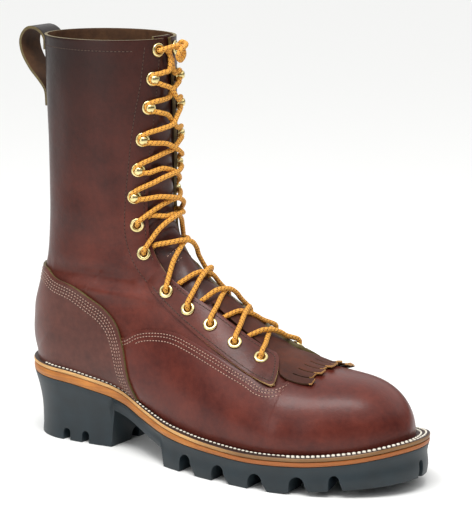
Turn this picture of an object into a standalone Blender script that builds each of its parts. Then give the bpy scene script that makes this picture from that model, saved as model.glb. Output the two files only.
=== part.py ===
"""Lineman boot for the right foot: leather upper, stitched welt and lugged rubber sole.

Toe along +X, medial side along +Y, floor at Z = 0. Sizes are in millimetres until a mesh is made.
"""

import functools
import math

import bmesh
import bpy
import numpy as np
from mathutils import Matrix, Vector
from mathutils.bvhtree import BVHTree

for old in list(bpy.data.objects):
    bpy.data.objects.remove(old)

MM = 0.001
GAP, SEAT_GAP = 0.3, 0.5
CUT_REACH = 120.0
LATERAL, MEDIAL = -1, 1
SIDES = (LATERAL, MEDIAL)

# Driving sizes of the boot
BACK, TIP = -4.5, 318.0
TIP_Y = 8.0
HEEL_END = 36.0
WELT = 3.0
WALL = 2.2

# Outline of the sole: x, half width
OUTLINE = {
    LATERAL: ((36, 39), (60, 37.5), (92, 34), (118, 41), (150, 50.5), (183, 55.4), (215, 56.7)),
    MEDIAL: ((36, 39), (60, 37), (84, 33.5), (101, 32.5), (116, 34), (132, 38.5), (155, 46), (182, 54.5),
             (210, 59), (241, 60.3)),
}
TOE_POWER = {LATERAL: 1.85, MEDIAL: 2.05}

# Top of the midsole along the foot: x, z
SEAT = ((-5, 54.5), (40, 52), (80, 46), (110, 36.5), (140, 28.5), (175, 24), (210, 22), (250, 23.5),
        (285, 27.5), (318, 34.5))
# Thickness of the midsole: x, thickness
MIDSOLE = ((-5, 6), (80, 6), (140, 5), (200, 3.2), (318, 3.2))
# How far the upper stands in from the sole's edge: x, inset
FEATHER = ((-5, 6), (60, 6), (110, 6.7), (150, 8.7), (210, 10), (270, 11), (318, 12.2))

# The toe from its tip to the ball: profile of its ridge, x, z
TOE_START, TOE_TIP = 230.0, 305.6
TOE_RIDGE = ((230, 75.8), (249, 73.5), (266, 72.3), (279.5, 69.3), (291.3, 63), (299.2, 54.8), (303.7, 46),
             (305.8, 38.5))
TOE_SECTIONS = 9
BULGE, LEAST_BULGE = 2.6, 0.05
# Values at the ball and at the toe's tip
TOE_RIDGE_Y, TOE_BELLY, TOE_FULLNESS = (6.0, 8.0), (0.20, 0.12), (0.98, 0.78)

# Sections of the upper that stand on the seat, from the ball to the heel
# base x, ridge x, ridge z, ridge y, lateral half width, medial half width, belly, fullness
STANDING = (
    (230.0, 232.0, 76, 6.0, 51.0, 52.5, 0.20, 0.98),
    (205.0, 211.0, 84.5, 5.0, 49.0, 50.5, 0.20, 1.05),
    (175.0, 188.0, 98.5, 4.0, 47.3, 46.5, 0.20, 1.10),
    (140.0, 162.0, 116.5, 3.0, 43.0, 39.2, 0.20, 1.12),
    (100.0, 140.0, 134, 2.0, 36.5, 35.5, 0.20, 1.10),
    (60.0, 126.5, 148, 1.0, 36.0, 36.0, 0.22, 1.05),
    (30.0, 120.5, 159, 0.5, 36.0, 36.0, 0.24, 1.00),
    (13.0, 118.0, 166, 0.0, 36.0, 36.0, 0.27, 0.98),
    (6.0, 117.0, 170, 0.0, 36.0, 36.0, 0.29, 0.97),
    (2.6, 116.5, 173, 0.0, 36.0, 36.0, 0.31, 0.97),
)
# Sections that start on the back seam, from the heel to the collar
# base x, base z, ridge x, ridge z, half width, belly
RISING = (
    (1.5, 54.7, 116.0, 176, 36.0, 0.33),
    (-2.8, 68.0, 115.2, 182, 36.0, 0.36),
    (-2.4, 87.0, 114.3, 192, 35.5, 0.40),
    (3.5, 110.0, 113.6, 205, 35.5, 0.43),
    (9.5, 138.0, 113.0, 221, 36.0, 0.45),
    (11.5, 175.0, 112.4, 241, 37.0, 0.47),
    (11.5, 212.0, 112.0, 261, 38.0, 0.48),
    (10.5, 250.0, 111.6, 279, 39.0, 0.49),
    (10.0, 278.0, 111.3, 290, 39.5, 0.50),
    (9.5, 297.0, 111.0, 298, 40.0, 0.50),
)
SHAFT_FULLNESS = 0.97

# The throat: section row, half opening
THROAT_ROW, THROAT_SHARE = 9.5, 0.35
THROAT = ((0, 12), (9, 13), (10, 14), (11, 17), (12, 19), (13, 23), (14, 25), (16, 24.5), (20, 23),
          (22, 20), (23, 16), (24, 12), (25, 9), (26, 6.5), (28, 4))
# Rows and columns of the upper's faces
SIDE_COLUMNS, THROAT_COLUMNS = 9, 2
LEDGE = 5.8
STATIONS = (0, 0.8, 1.8, 3, 4.4, 6.2, 8.2, 9, 9.5, 10.3, 11.1, 11.9, 12.6, 13, 13.35, 14.2, 15.2, 16, 17,
            18, 19, 20, 21, 22, 22.72, 24, 25.75, 28)
ACROSS = 2 * (SIDE_COLUMNS + THROAT_COLUMNS) + 1
# Points of a section's line below and above its widest place, and along the sole's outline
LOW_POINTS, HIGH_POINTS, OUTLINE_POINTS = 60, 90, 400

# Leather laid over the upper, in the side view: x, z of each edge
VAMP_THICK, COUNTER_THICK, EYESTAY_THICK, BACKSTAY_THICK = 1.5, 1.9, 1.4, 1.4
COUNTER_EDGE = ((-20, 128), (22, 127), (37, 121.5), (51, 118.5), (65, 111), (78, 104.5), (90, 94),
                (97, 80), (103, 57), (111, 38))
VAMP_EDGE = ((97.5, 84), (104, 90), (112, 93), (126, 93.5), (139, 89.5), (152, 86), (180, 79.5), (203, 73),
             (222, 68), (228, 71), (231, 80), (233, 100), (330, 100), (330, 5), (112, 5))
# First and last section row of each, and the eyestay's columns
VAMP_ROWS, COUNTER_ROWS, EYESTAY_ROWS = (0, 15.2), (13, 24), (9, 16)
EYESTAY_COLUMNS = 3
SEAM_TOP, SEAM_GAP = 84.0, 0.8
EYESTAY_EDGE = ((118, 122), (127, 113), (148, 101), (168, 92.5), (186, 84.5), (213, 74.5), (219, 73.5),
                (221, 76), (218, 84), (211, 92), (190, 160), (118, 160))

# Lacing from the toe up: section row, length from the ridge, kind
LACING = (
    (10.3, 25, "eyelet"), (11.1, 28, "eyelet"), (11.85, 29, "eyelet"), (12.55, 31, "eyelet"),
    (13.35, 33, "eyelet"), (15.45, 32.5, "eyelet"), (19.9, 33, "eyelet"), (21.65, 33, "hook"),
    (22.7, 28.5, "hook"), (23.65, 24, "hook"), (24.6, 18.5, "hook"), (25.55, 15, "hook"),
    (27.05, 10, "eyelet"),
)
EYELET_OUTER, EYELET_HOLE, EYELET_HIGH, EYELET_SIDES = 5.1, 2.6, 1.3, 8
EYELET_EDGE = 0.8
HARDWARE_GAP = 0.3
EYESTAY_END = 14.0
# A hook's strip: distance from the throat's side, height, width
HOOK_PATH = ((4.5, 0.45, 8), (-2.5, 0.45, 8), (-4.2, 1.6, 6.5), (-4.2, 3.4, 5.5), (-2.5, 4.6, 5.5),
             (3, 5.2, 5.5))
HOOK_THICK = 0.9
# The lace and how far it stays from eyelets, edges and tongue
LACE = 3.6
LACE_CLEAR, LACE_EDGE, LACE_STEP, LACE_LIFT, LACE_ARCH = 7.6, 2.8, 0.15, 2.4, 0.6
LACE_UNDER, LACE_ON_KILTIE = -0.4, 1.6
LACE_POINTS, LACE_SIDES = 4, 5
# The knot: distance out of the throat, across, up
KNOT_PATH = ((3.6, -4.4, 0), (7, -1, 2), (9, 4, 1), (10, 5.5, -4), (10.5, 1, -8), (12, -4.5, -5),
             (13.5, -3, 0), (13, 2, 1.5), (10, 8, 3), (5.2, 9, 4), (2.0, 6.7, 4.5))
KNOT_POINTS = 16

TONGUE_ROW, TONGUE_GAP, TONGUE_THICK, TONGUE_RISE = 8.2, 0.5, 2.0, 1.5
# Fringed apron under the laces, from its tips: row in the middle, row at the sides, half width, lift
KILTIE = ((7.7, 8.4, 30, 2.1), (8.15, 8.65, 31.5, 2.1), (8.6, 8.9, 32, 2.1), (9.0, 9.1, 31.5, 2.1),
          (9.44, 9.44, 29.5, 2.1), (9.5, 9.5, 12.5, 1.6), (9.75, 9.75, 12.2, 0.3), (10.25, 10.25, 12, -2.1),
          (12.2, 12.2, 14.5, -2.1))
KILTIE_THICK, STRIPS, SLIT, SLIT_ROWS = 1.5, 8, 0.12, 2
BACKSTAY_ROWS = (22.72, 25.75)
# The pull loop in the side view: x, z
LOOP_PATH = ((9.2, 243), (8.2, 254), (3, 261), (-6, 270), (-13, 281), (-14, 291), (-8, 298.5), (1, 298.5),
             (7.6, 293), (8.3, 284))
LOOP_WIDE, LOOP_THICK = 18.0, 2.2

# The sole: heel, waist and tread
HEEL_FRONT, BREAST, LUG_START, WAIST, PLATE = 80.0, 3.0, 138.0, 11.0, 7.0
# Places along the sole: degrees round the back of the heel, then x
HEEL_TURNS = (0, 20, 40, 60, 75, 90)
HEEL_X, WAIST_X = (52, 66), (98, 110, 122)
FOREFOOT_X = (152, 168, 184, 200, 216, 232, 247, 261, 274, 286, 296, 304, 310, 314.5, 317)
TREAD = ((-5, 0), (232, 0), (255, 2.5), (275, 4.8), (305, 8), (318, 10))
# Side of the rubber: share of its depth, inset at the heel, inset at the forefoot
SIDE_STEPS = ((0, 0.6, 0.6), (0.3, 2.4, 1.8), (0.7, 5.6, 1.0), (1, 6.8, 1.8))
# Grooves of the tread in plan: from x, y to x, y, width
FOREFOOT_GROOVES = (
    (288, -75, 268, -12, 7), (267, -14, 274, 10, 6), (275, 6, 262, 21, 6), (263, 19, 244, 75, 7),
    (270, 6, 330, 9, 5), (262, 17, 310, 56, 5),
    (256, -75, 250, -24, 11), (250, -26, 246, 4, 6), (224, -75, 220, -24, 11), (220, -26, 223, 4, 6),
    (192, -75, 190, -24, 10), (190, -26, 195, 4, 6), (162, -75, 160, -24, 10), (160, -26, 165, 4, 6),
    (132, -23, 262, -29, 5), (132, 3, 268, 6, 11), (132, 24, 222, 30, 5),
    (217, 80, 222, 24, 10), (222, 26, 233, 4, 6), (186, 80, 191, 24, 9), (191, 26, 201, 4, 6),
    (157, 80, 161, 24, 9), (161, 26, 169, 4, 6),
)
HEEL_GROOVES = (
    (39, -60, 42, -14, 5), (57, -60, 56, -14, 5), (39, 60, 42, 14, 5), (57, 60, 56, 14, 5),
    (95, 0, 16, 0, 9), (40, -16, 62, 3, 5), (40, 16, 62, -3, 5),
)
HEEL_GROOVE = 8.0
INSOLE, INSOLE_GAP = 3.0, 1.2
MIDSOLE_INSETS = ((0, 0.4), (1, 0.6))
# Width of the welt beside the upper: x, width
WELT_WIDE = ((-5, 3.8), (20, 4.9), (55, 3.7), (85, 2.7), (105, 2.6), (130, 4.2), (160, 6.3), (200, 7.6),
             (240, 6.6), (275, 8.0), (318, 9.8))
# Middle of the whole boot's box, which becomes the origin
MIDDLE = (151.47, 1.74, 0.0)


def through(rows, at):
    """A smooth line through rows of place and value, without overshoot."""
    place, value = np.array(rows, float).T
    step = np.diff(place)
    rise = np.diff(value) / step
    slope = np.zeros(len(place))
    slope[0], slope[-1] = rise[0], rise[-1]
    same = rise[:-1] * rise[1:] > 0
    slope[1:-1][same] = (2 * rise[:-1] * rise[1:])[same] / (rise[:-1] + rise[1:])[same]
    i = np.clip(np.searchsorted(place, at) - 1, 0, len(step) - 1)
    t = (at - place[i]) / step[i]
    near = (1 + 2 * t) * (1 - t) ** 2 * value[i] + t * (1 - t) ** 2 * step[i] * slope[i]
    return near + t * t * (3 - 2 * t) * value[i + 1] - t * t * (1 - t) * step[i] * slope[i + 1]


def outline(side, x):
    """Half width of the sole at x, round at the heel and a superellipse at the toe."""
    x = np.asarray(x, float)
    rows = OUTLINE[side]
    half = through(rows, x)
    heel = rows[0][1] * np.sqrt(np.clip(1 - ((HEEL_END - x) / (HEEL_END - BACK)) ** 2, 0, 1))
    start, width = rows[-1]
    power = TOE_POWER[side]
    tip = side * TIP_Y
    reach = np.clip((x - start) / (TIP - start), 0, 1)
    toe = tip + (width - tip) * (1 - reach**power) ** (1 / power)
    return np.where(x < HEEL_END, heel, np.where(x > start, toe, half))


def edge(side, x, inset):
    """Points of the sole's outline at x, moved in by an inset."""
    turn = np.arccos(1 - 2 * (np.asarray(x, float) - BACK) / (TIP - BACK))

    def place(angle):
        at = BACK + (TIP - BACK) * (1 - np.cos(np.clip(angle, 0, math.pi))) / 2
        return np.stack([at, side * outline(side, at)], -1)

    along = place(turn + 0.002) - place(turn - 0.002)
    along /= np.linalg.norm(along, axis=-1, keepdims=True)
    inward = np.stack([along[..., 1], -along[..., 0]], -1) * side
    return place(turn) + inward * (np.zeros(np.shape(x)) + inset)[..., None]


FINE_X = BACK + (TIP - BACK) * (1 - np.cos(np.linspace(0, math.pi, OUTLINE_POINTS))) / 2
FEATHER_LINE = {side: edge(side, FINE_X, through(FEATHER, FINE_X)) for side in SIDES}


def feather(side, x):
    """Distance of the upper's base from the middle line at x."""
    line = FEATHER_LINE[side]
    return float(np.interp(x, line[:, 0], side * line[:, 1]))


def sections():
    """Rows of base x and z, ridge x and z, middle y, ridge y, four half widths, belly and fullness."""
    rows = []
    for k in range(TOE_SECTIONS):
        turn = math.pi / 2 * (1 - k / TOE_SECTIONS)
        x = TOE_START + (TOE_TIP - TOE_START) * math.sin(turn)
        share = (x - TOE_START) / (TOE_TIP - TOE_START)
        middle = TIP_Y * share * share * (3 - 2 * share)
        ridge_y, belly, full = [a + (b - a) * share for a, b in (TOE_RIDGE_Y, TOE_BELLY, TOE_FULLNESS)]
        base = [feather(LATERAL, x) + middle, feather(MEDIAL, x) - middle]
        wide = [b + BULGE * math.cos(turn) ** 0.5 + 2 * LEAST_BULGE for b in base]
        base_z = float(through(SEAT, x)) + SEAT_GAP
        top = float(through(TOE_RIDGE, x))
        rows.append([x, base_z, x, top, middle, ridge_y, *base, *wide, belly, full])
    for x, ridge_x, ridge_z, ridge_y, lateral, medial, belly, full in STANDING:
        base_z = float(through(SEAT, x)) + SEAT_GAP
        base = [feather(LATERAL, x), feather(MEDIAL, x)]
        rows.append([x, base_z, ridge_x, ridge_z, 0, ridge_y, *base, lateral, medial, belly, full])
    for x, z, ridge_x, ridge_z, half, belly in RISING:
        rows.append([x, z, ridge_x, ridge_z, 0, 0, 0, 0, half, half, belly, SHAFT_FULLNESS])
    return np.array(rows, float)


SECTIONS = sections()
HEEL_ROW = TOE_SECTIONS + len(STANDING)
COLLAR_ROW = len(SECTIONS) - 1


def section(row):
    """The values of the section at a row that may lie between two of the table's."""
    first, last = (0, HEEL_ROW) if row < HEEL_ROW else (HEEL_ROW, COLLAR_ROW)
    number = np.arange(first, last + 1)
    values = [float(through(np.stack([number, column[first:last + 1]], 1), row)) for column in SECTIONS.T]
    if row < HEEL_ROW - 1:
        x, middle = values[0], values[4]
        values[1] = float(through(SEAT, x)) + SEAT_GAP
        values[6:8] = feather(LATERAL, x) + middle, feather(MEDIAL, x) - middle
    return values


@functools.cache
def half_section(side, row):
    """One side of a section as a fine line from base to ridge, and the length along it."""
    base_x, base_z, ridge_x, ridge_z, middle, ridge_y, *widths, belly, full = section(row)
    base_l, base_m, wide_l, wide_m = widths
    base, wide = (base_l, wide_l) if side == LATERAL else (base_m, wide_m)
    wide = max(wide, base + LEAST_BULGE)
    low = -math.acos((base / wide) ** (1 / full)) if base > 0 else -math.pi / 2
    angle = np.concatenate([np.linspace(low, 0, LOW_POINTS), np.linspace(0, math.pi / 2, HIGH_POINTS)[1:]])
    half = wide * np.clip(np.cos(angle), 0, 1) ** full
    drop = np.sin(np.minimum(angle, 0)) / math.sin(low)
    up = np.where(angle < 0, belly * (1 - drop), belly + (1 - belly) * np.sin(np.maximum(angle, 0)))
    y = middle + side * half + (ridge_y - middle) * (1 - half / wide)
    line = np.stack([base_x + (ridge_x - base_x) * up, y, base_z + (ridge_z - base_z) * up], 1)
    length = np.concatenate([[0], np.cumsum(np.linalg.norm(np.diff(line, axis=0), axis=1))])
    return line, length


def girth(side, row):
    """Length of one side of a section."""
    return half_section(side, row)[1][-1]


def on_section(row, arcs):
    """Points of a section at lengths from its ridge, less than 0 on the lateral side."""
    arcs = np.asarray(arcs, float)
    points = np.zeros((len(arcs), 3))
    for side in SIDES:
        line, length = half_section(side, row)
        at = length[-1] - arcs * side
        found = np.stack([np.interp(at, length, line[:, k]) for k in range(3)], 1)
        mine = arcs * side >= 0
        points[mine] = found[mine]
    return points


def skin(row, arcs, lift=0.0):
    """Points that stand off the upper's outer face by a lift along its normal."""
    arcs = np.asarray(arcs, float)
    span, step = 0.4, 0.04
    across = on_section(row, arcs + span) - on_section(row, arcs - span)
    before = row if HEEL_ROW <= row < HEEL_ROW + step else max(row - step, 0)
    ahead = on_section(min(row + step, COLLAR_ROW), arcs) - on_section(before, arcs)
    normal = np.cross(across, ahead)
    seam = np.abs(arcs) > girth(LATERAL, row) - 0.01
    normal[seam & (row >= HEEL_ROW), 1] = 0
    normal /= np.linalg.norm(normal, axis=1, keepdims=True)
    return on_section(row, arcs) + normal * (np.zeros(len(arcs)) + lift)[:, None]


def half_gap(row):
    """Half of the throat's opening, kept inside the section."""
    return min(float(through(THROAT, row)), *[THROAT_SHARE * girth(side, row) for side in SIDES])


def columns(row):
    """Lengths from the ridge of the upper's columns, from the lateral base to the medial base."""
    gap = half_gap(row)
    inner = np.linspace(-gap, gap, 2 * THROAT_COLUMNS + 1)[1:-1]
    sides = {}
    for side in SIDES:
        base = girth(side, row)
        ledge = min(LEDGE, (base - gap) / 2)
        sides[side] = side * np.array([base, *np.linspace(base - ledge, gap, SIDE_COLUMNS)])
    return np.concatenate([sides[LATERAL], inner, sides[MEDIAL][::-1]])


def material(name, colour, roughness, metallic=0.0):
    """A plain shader with its colour given as sRGB hex."""
    made = bpy.data.materials.new(name)
    made.use_nodes = True
    shader = made.node_tree.nodes["Principled BSDF"]
    channels = [int(colour[k:k + 2], 16) / 255 for k in (0, 2, 4)]
    linear = [c / 12.92 if c <= 0.04045 else ((c + 0.055) / 1.055) ** 2.4 for c in channels]
    shader.inputs["Base Color"].default_value = (*linear, 1)
    shader.inputs["Roughness"].default_value = roughness
    shader.inputs["Metallic"].default_value = metallic
    return made


def solid(name, points, faces, look):
    """An object from points in millimetres, with its faces turned outwards."""
    mesh = bpy.data.meshes.new(name)
    mesh.from_pydata([tuple(p) for p in np.asarray(points) * MM], [], faces)
    shape = bmesh.new()
    shape.from_mesh(mesh)
    bmesh.ops.recalc_face_normals(shape, faces=shape.faces)
    bmesh.ops.triangulate(shape, faces=[f for f in shape.faces if len(f.verts) > 3])
    shape.to_mesh(mesh)
    shape.free()
    mesh.materials.append(look)
    made = bpy.data.objects.new(name, mesh)
    bpy.context.collection.objects.link(made)
    made.parent = BOOT
    return made


def shell(name, outer, inner, quads, look):
    """A closed wall between two sets of points with the same faces."""
    count = len(outer)
    edges = {}
    for face in quads:
        for a, b in zip(face, face[1:] + face[:1]):
            if a != b:
                edges[a, b] = (a, b)
    rim = [pair for pair in edges if pair[::-1] not in edges]
    faces = [tuple(dict.fromkeys(f)) for f in quads]
    faces += [tuple(dict.fromkeys(i + count for i in reversed(f))) for f in quads]
    faces += [(b, a, a + count, b + count) for a, b in rim]
    used = sorted({i for f in faces for i in f})
    number = {old: new for new, old in enumerate(used)}
    points = np.concatenate([outer, inner])[used]
    return solid(name, points, [tuple(number[i] for i in f) for f in faces], look)


def upper_faces(first, last, keep):
    """Faces of the upper's grid between two stations, joined at the back seam and at the toe's front."""

    def point(i, j):
        return i * ACROSS + (0 if j == ACROSS - 1 and STATIONS[i] >= HEEL_ROW else j)

    faces = []
    for i in range(first, last):
        for j in range(ACROSS - 1):
            a, b, c, d = point(i, j), point(i, j + 1), point(i + 1, j + 1), point(i + 1, j)
            if keep(i, j):
                faces += [(a, b, c), (a, c, d)] if j < ACROSS // 2 else [(a, b, d), (b, c, d)]
    if first == 0:
        for j in range(ACROSS // 2):
            a, b, c, d = point(0, j + 1), point(0, j), point(0, ACROSS - 1 - j), point(0, ACROSS - 2 - j)
            if keep(0, j):
                faces += [(a, b, c), (a, c, d)]
    return [face for face in faces if len(set(face)) == 3]


def upper_layer(lift):
    """All the points of the upper's grid at one lift."""
    return np.concatenate([skin(row, columns(row), lift) for row in STATIONS])


def in_throat(i, j):
    """Whether a face of the upper's grid lies in the open throat."""
    return STATIONS[i] >= THROAT_ROW and SIDE_COLUMNS <= j < SIDE_COLUMNS + 2 * THROAT_COLUMNS


def prism(name, corners):
    """A cutter: an outline in the side view, run across the whole boot."""
    count = len(corners)
    points = [(x, y, z) for y in (-CUT_REACH, CUT_REACH) for x, z in corners]
    faces = [tuple(range(count)), tuple(range(2 * count - 1, count - 1, -1))]
    faces += [(k, (k + 1) % count, count + (k + 1) % count, count + k) for k in range(count)]
    return solid(name, points, faces, LOOKS["rubber"])


def cut(target, cutter, operation):
    """A Boolean step with a cutter, which is hidden."""
    cutter.hide_render = True
    cutter.display_type = "WIRE"
    step = target.modifiers.new(cutter.name, "BOOLEAN")
    step.operation = operation
    step.object = cutter
    step.use_self = True


def make_upper():
    """One hollow leather wall, open at the collar, along the throat and underneath."""
    faces = upper_faces(0, len(STATIONS) - 1, lambda i, j: not in_throat(i, j))
    return shell("upper", upper_layer(0), upper_layer(-WALL), faces, LOOKS["leather"])


def make_overlay(name, corners, thick, rows, first_column, look):
    """Leather between two larger forms of the upper, cut to an outline in the side view."""

    def keep(i, j):
        return not in_throat(i, j) and first_column <= j < ACROSS - 1 - first_column

    faces = upper_faces(STATIONS.index(rows[0]), STATIONS.index(rows[1]), keep)
    made = shell(name, upper_layer(GAP + thick), upper_layer(GAP), faces, look)
    cut(made, prism(name + "_outline", corners), "INTERSECT")


def make_vamp():
    """Front of the boot, from the counter's edge to the toe."""
    seam = [(x + SEAM_GAP, z) for x, z in reversed(COUNTER_EDGE) if z < SEAM_TOP]
    make_overlay("vamp", [*seam, *VAMP_EDGE], VAMP_THICK, VAMP_ROWS, 1, LOOKS["vamp"])


def make_counter():
    """Stiff piece round the heel, cut just above the welt."""
    end = COUNTER_EDGE[-1][0]
    x = np.array([BACK, *[at for at in sole_stations() if BACK < at < end], end])
    on_welt = list(zip(x, through(SEAT, x) + WELT + 2 * GAP))
    corners = [*COUNTER_EDGE[:-1], *reversed(on_welt), (COUNTER_EDGE[0][0], on_welt[0][1])]
    make_overlay("counter", corners, COUNTER_THICK, COUNTER_ROWS, 0, LOOKS["leather"])


def make_eyestay(side):
    """Facing of the instep's eyelets, from the throat's edge down, round at its front."""
    name = "eyestay_lateral" if side == LATERAL else "eyestay_medial"
    mine = range(SIDE_COLUMNS - EYESTAY_COLUMNS, SIDE_COLUMNS)
    if side == MEDIAL:
        mine = [ACROSS - 2 - j for j in mine]
    first, last = [STATIONS.index(row) for row in EYESTAY_ROWS]
    faces = upper_faces(first, last, lambda i, j: j in mine)
    made = shell(name, upper_layer(GAP + EYESTAY_THICK), upper_layer(GAP), faces, LOOKS["leather"])
    cut(made, prism(name + "_outline", EYESTAY_EDGE), "INTERSECT")


def make_tongue():
    """Tongue behind the throat, a little higher than the collar."""
    mine = range(SIDE_COLUMNS - 1, SIDE_COLUMNS + 2 * THROAT_COLUMNS + 1)
    faces = upper_faces(STATIONS.index(TONGUE_ROW), len(STATIONS) - 1, lambda i, j: j in mine)
    top = (len(STATIONS) - 1) * ACROSS
    faces += [(top + j, top + j + 1, top + ACROSS + j + 1, top + ACROSS + j) for j in mine]
    layers = []
    for lift in (-WALL - TONGUE_GAP, -WALL - TONGUE_GAP - TONGUE_THICK):
        layer = upper_layer(lift)
        layers.append(np.concatenate([layer, layer[top:] + (0, 0, TONGUE_RISE)]))
    shell("tongue", *layers, faces, LOOKS["leather"])


def make_kiltie():
    """Apron that lies on the vamp, its front cut into strips, with a neck under the laces."""
    share = []
    for k in range(STRIPS):
        share += [k + SLIT / 2, k + 1 - SLIT / 2]
    share = np.array(share) * 2 / STRIPS - 1
    layers = []
    for thick in (KILTIE_THICK, 0):
        points = []
        for middle, side, half, lift in KILTIE:
            for at in share:
                points.append(skin(middle + (side - middle) * at * at, [at * half], lift + thick)[0])
        layers.append(np.array(points))
    wide = len(share)
    faces = []
    for i in range(len(KILTIE) - 1):
        for j in range(wide - 1):
            if i >= SLIT_ROWS or j % 2 == 0:
                faces.append((i * wide + j, i * wide + j + 1, (i + 1) * wide + j + 1, (i + 1) * wide + j))
    shell("kiltie", *layers, faces, LOOKS["kiltie"])


def make_backstay():
    """Narrow strip over the back seam, from the counter to the pull loop."""
    first, last = [STATIONS.index(row) for row in BACKSTAY_ROWS]
    faces = upper_faces(first, last, lambda i, j: j in (0, ACROSS - 2))
    shell("backstay", upper_layer(GAP + BACKSTAY_THICK), upper_layer(GAP), faces, LOOKS["leather"])


def strip_faces(rows):
    """Faces of a bent strip with four corners in each row, closed at both ends."""
    end = 4 * rows - 4
    faces = [(0, 2, 3, 1), (end, end + 1, end + 3, end + 2)]
    for a in range(0, end, 4):
        b = a + 4
        faces += [(a, a + 1, b + 1, b), (a + 3, a + 2, b + 2, b + 3)]
        faces += [(a + 2, a, b, b + 2), (a + 1, a + 3, b + 3, b + 1)]
    return faces


def make_pull_loop():
    """Leather strap that leaves the back below the collar, turns over and comes home at the top."""
    path = np.array(LOOP_PATH, float)
    along = np.gradient(path, axis=0)
    along /= np.linalg.norm(along, axis=1, keepdims=True)
    normal = np.stack([-along[:, 1], along[:, 0]], 1) * LOOP_THICK / 2
    points = []
    for (x, z), (nx, nz) in zip(path, normal):
        corners = ((x + nx, z + nz), (x - nx, z - nz))
        points += [(cx, y, cz) for y in (-LOOP_WIDE / 2, LOOP_WIDE / 2) for cx, cz in corners]
    solid("pull_loop", points, strip_faces(len(path)), LOOKS["leather"])


def sole_stations():
    """Places along the sole: round ends, with a step at the heel's breast and behind the first lug."""
    back = [BACK + (HEEL_END - BACK) * (1 - math.cos(math.radians(turn))) for turn in HEEL_TURNS]
    return np.array([*back, *HEEL_X, HEEL_FRONT, HEEL_FRONT + BREAST, *WAIST_X, LUG_START - BREAST, LUG_START,
                     *FOREFOOT_X, TIP])


def slab(name, x, top, bottom, insets, look):
    """A layer of the sole between two heights, with rows of share of its depth and inset from the edge."""
    points = []
    for share, inset in insets:
        for side in SIDES:
            plan = edge(side, x, inset)
            high, low = top(plan[:, 0]), bottom(plan[:, 0])
            points.append(np.column_stack([plan, high + (low - high) * share]))
    count, levels = len(x), len(insets)

    def at(level, side, k):
        return (2 * level + (side > 0)) * count + k

    def panel(level, side, k):
        near, far = (k, k + 1) if side == LATERAL else (k + 1, k)
        below = level + 1
        return at(level, side, near), at(level, side, far), at(below, side, far), at(below, side, near)

    faces = []
    for k in range(count - 1):
        faces += [panel(level, side, k) for level in range(levels - 1) for side in SIDES]
        faces.append((at(0, 1, k), at(0, 1, k + 1), at(0, -1, k + 1), at(0, -1, k)))
        low = levels - 1
        faces.append((at(low, -1, k), at(low, -1, k + 1), at(low, 1, k + 1), at(low, 1, k)))
    points = np.concatenate(points)
    ends = {}
    for level in range(levels):
        for k in (0, count - 1):
            ends[at(level, 1, k)] = at(level, -1, k)
    faces = [tuple(dict.fromkeys(ends.get(i, i) for i in face)) for face in faces]
    kept = sorted({i for face in faces if len(face) > 2 for i in face})
    number = {old: new for new, old in enumerate(kept)}
    faces = [tuple(number[i] for i in face) for face in faces if len(face) > 2]
    return solid(name, points[kept], faces, look)


def seat(x):
    """Top of the midsole."""
    return through(SEAT, x)


def midsole_bottom(x):
    """Underside of the midsole."""
    return seat(x) - through(MIDSOLE, x)


def rubber_top(x):
    """Top of the rubber, just under the midsole."""
    return midsole_bottom(x) - GAP


def rubber_bottom(x):
    """Floor under heel and forefoot, and the arch of the waist between them."""
    waist = (x > HEEL_FRONT + BREAST / 2) & (x < LUG_START - BREAST / 2)
    return np.where(waist, rubber_top(x) - WAIST, through(TREAD, x))


def groove(x0, y0, x1, y1, wide, top):
    """Corners of a straight groove from below the floor, with the height of its top at both ends."""
    length = math.hypot(x1 - x0, y1 - y0)
    nx, ny = -(y1 - y0) / length * wide / 2, (x1 - x0) / length * wide / 2
    plan = ((x0 + nx, y0 + ny), (x0 - nx, y0 - ny), (x1 - nx, y1 - ny), (x1 + nx, y1 + ny))
    low = [(x, y, -CUT_REACH) for x, y in plan]
    return low + [(x, y, top[k // 2]) for k, (x, y) in enumerate(plan)]


def joined(name, boxes):
    """One cutter from the corners of many boxes."""
    faces = []
    for k in range(len(boxes)):
        sides = [(n, (n + 1) % 4, (n + 1) % 4 + 4, n + 4) for n in range(4)]
        faces += [tuple(8 * k + i for i in face) for face in [(3, 2, 1, 0), (4, 5, 6, 7), *sides]]
    return solid(name, [p for box in boxes for p in box], faces, LOOKS["rubber"])


def make_outsole():
    """Rubber unit sole: heel, arched waist and forefoot, with its grooves cut from below."""
    x = sole_stations()
    heel = np.interp(x, (HEEL_FRONT, LUG_START), (1, 0))
    insets = [(share, fore + (back - fore) * heel) for share, back, fore in SIDE_STEPS]
    made = slab("outsole", x, rubber_top, rubber_bottom, insets, LOOKS["rubber"])
    grooves = []
    for row in FOREFOOT_GROOVES:
        top = [float(rubber_top(np.clip(at, BACK, TIP))) - PLATE for at in (row[0], row[2])]
        grooves.append(groove(*row, top))
    for row in HEEL_GROOVES:
        grooves.append(groove(*row, (HEEL_GROOVE, HEEL_GROOVE)))
    cut(made, joined("tread_grooves", grooves), "DIFFERENCE")


def make_midsole():
    """Leather layer between the welt and the rubber."""
    slab("midsole", sole_stations(), seat, midsole_bottom, MIDSOLE_INSETS, LOOKS["edge"])


def make_insole():
    """Board inside the upper, on the midsole."""
    x = sole_stations()
    inset = through(FEATHER, x) + WALL + INSOLE_GAP
    bottom = GAP
    top = GAP + INSOLE
    slab("insole", x, lambda at: seat(at) + top, lambda at: seat(at) + bottom, ((0, inset), (1, inset)),
         LOOKS["insole"])


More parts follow.
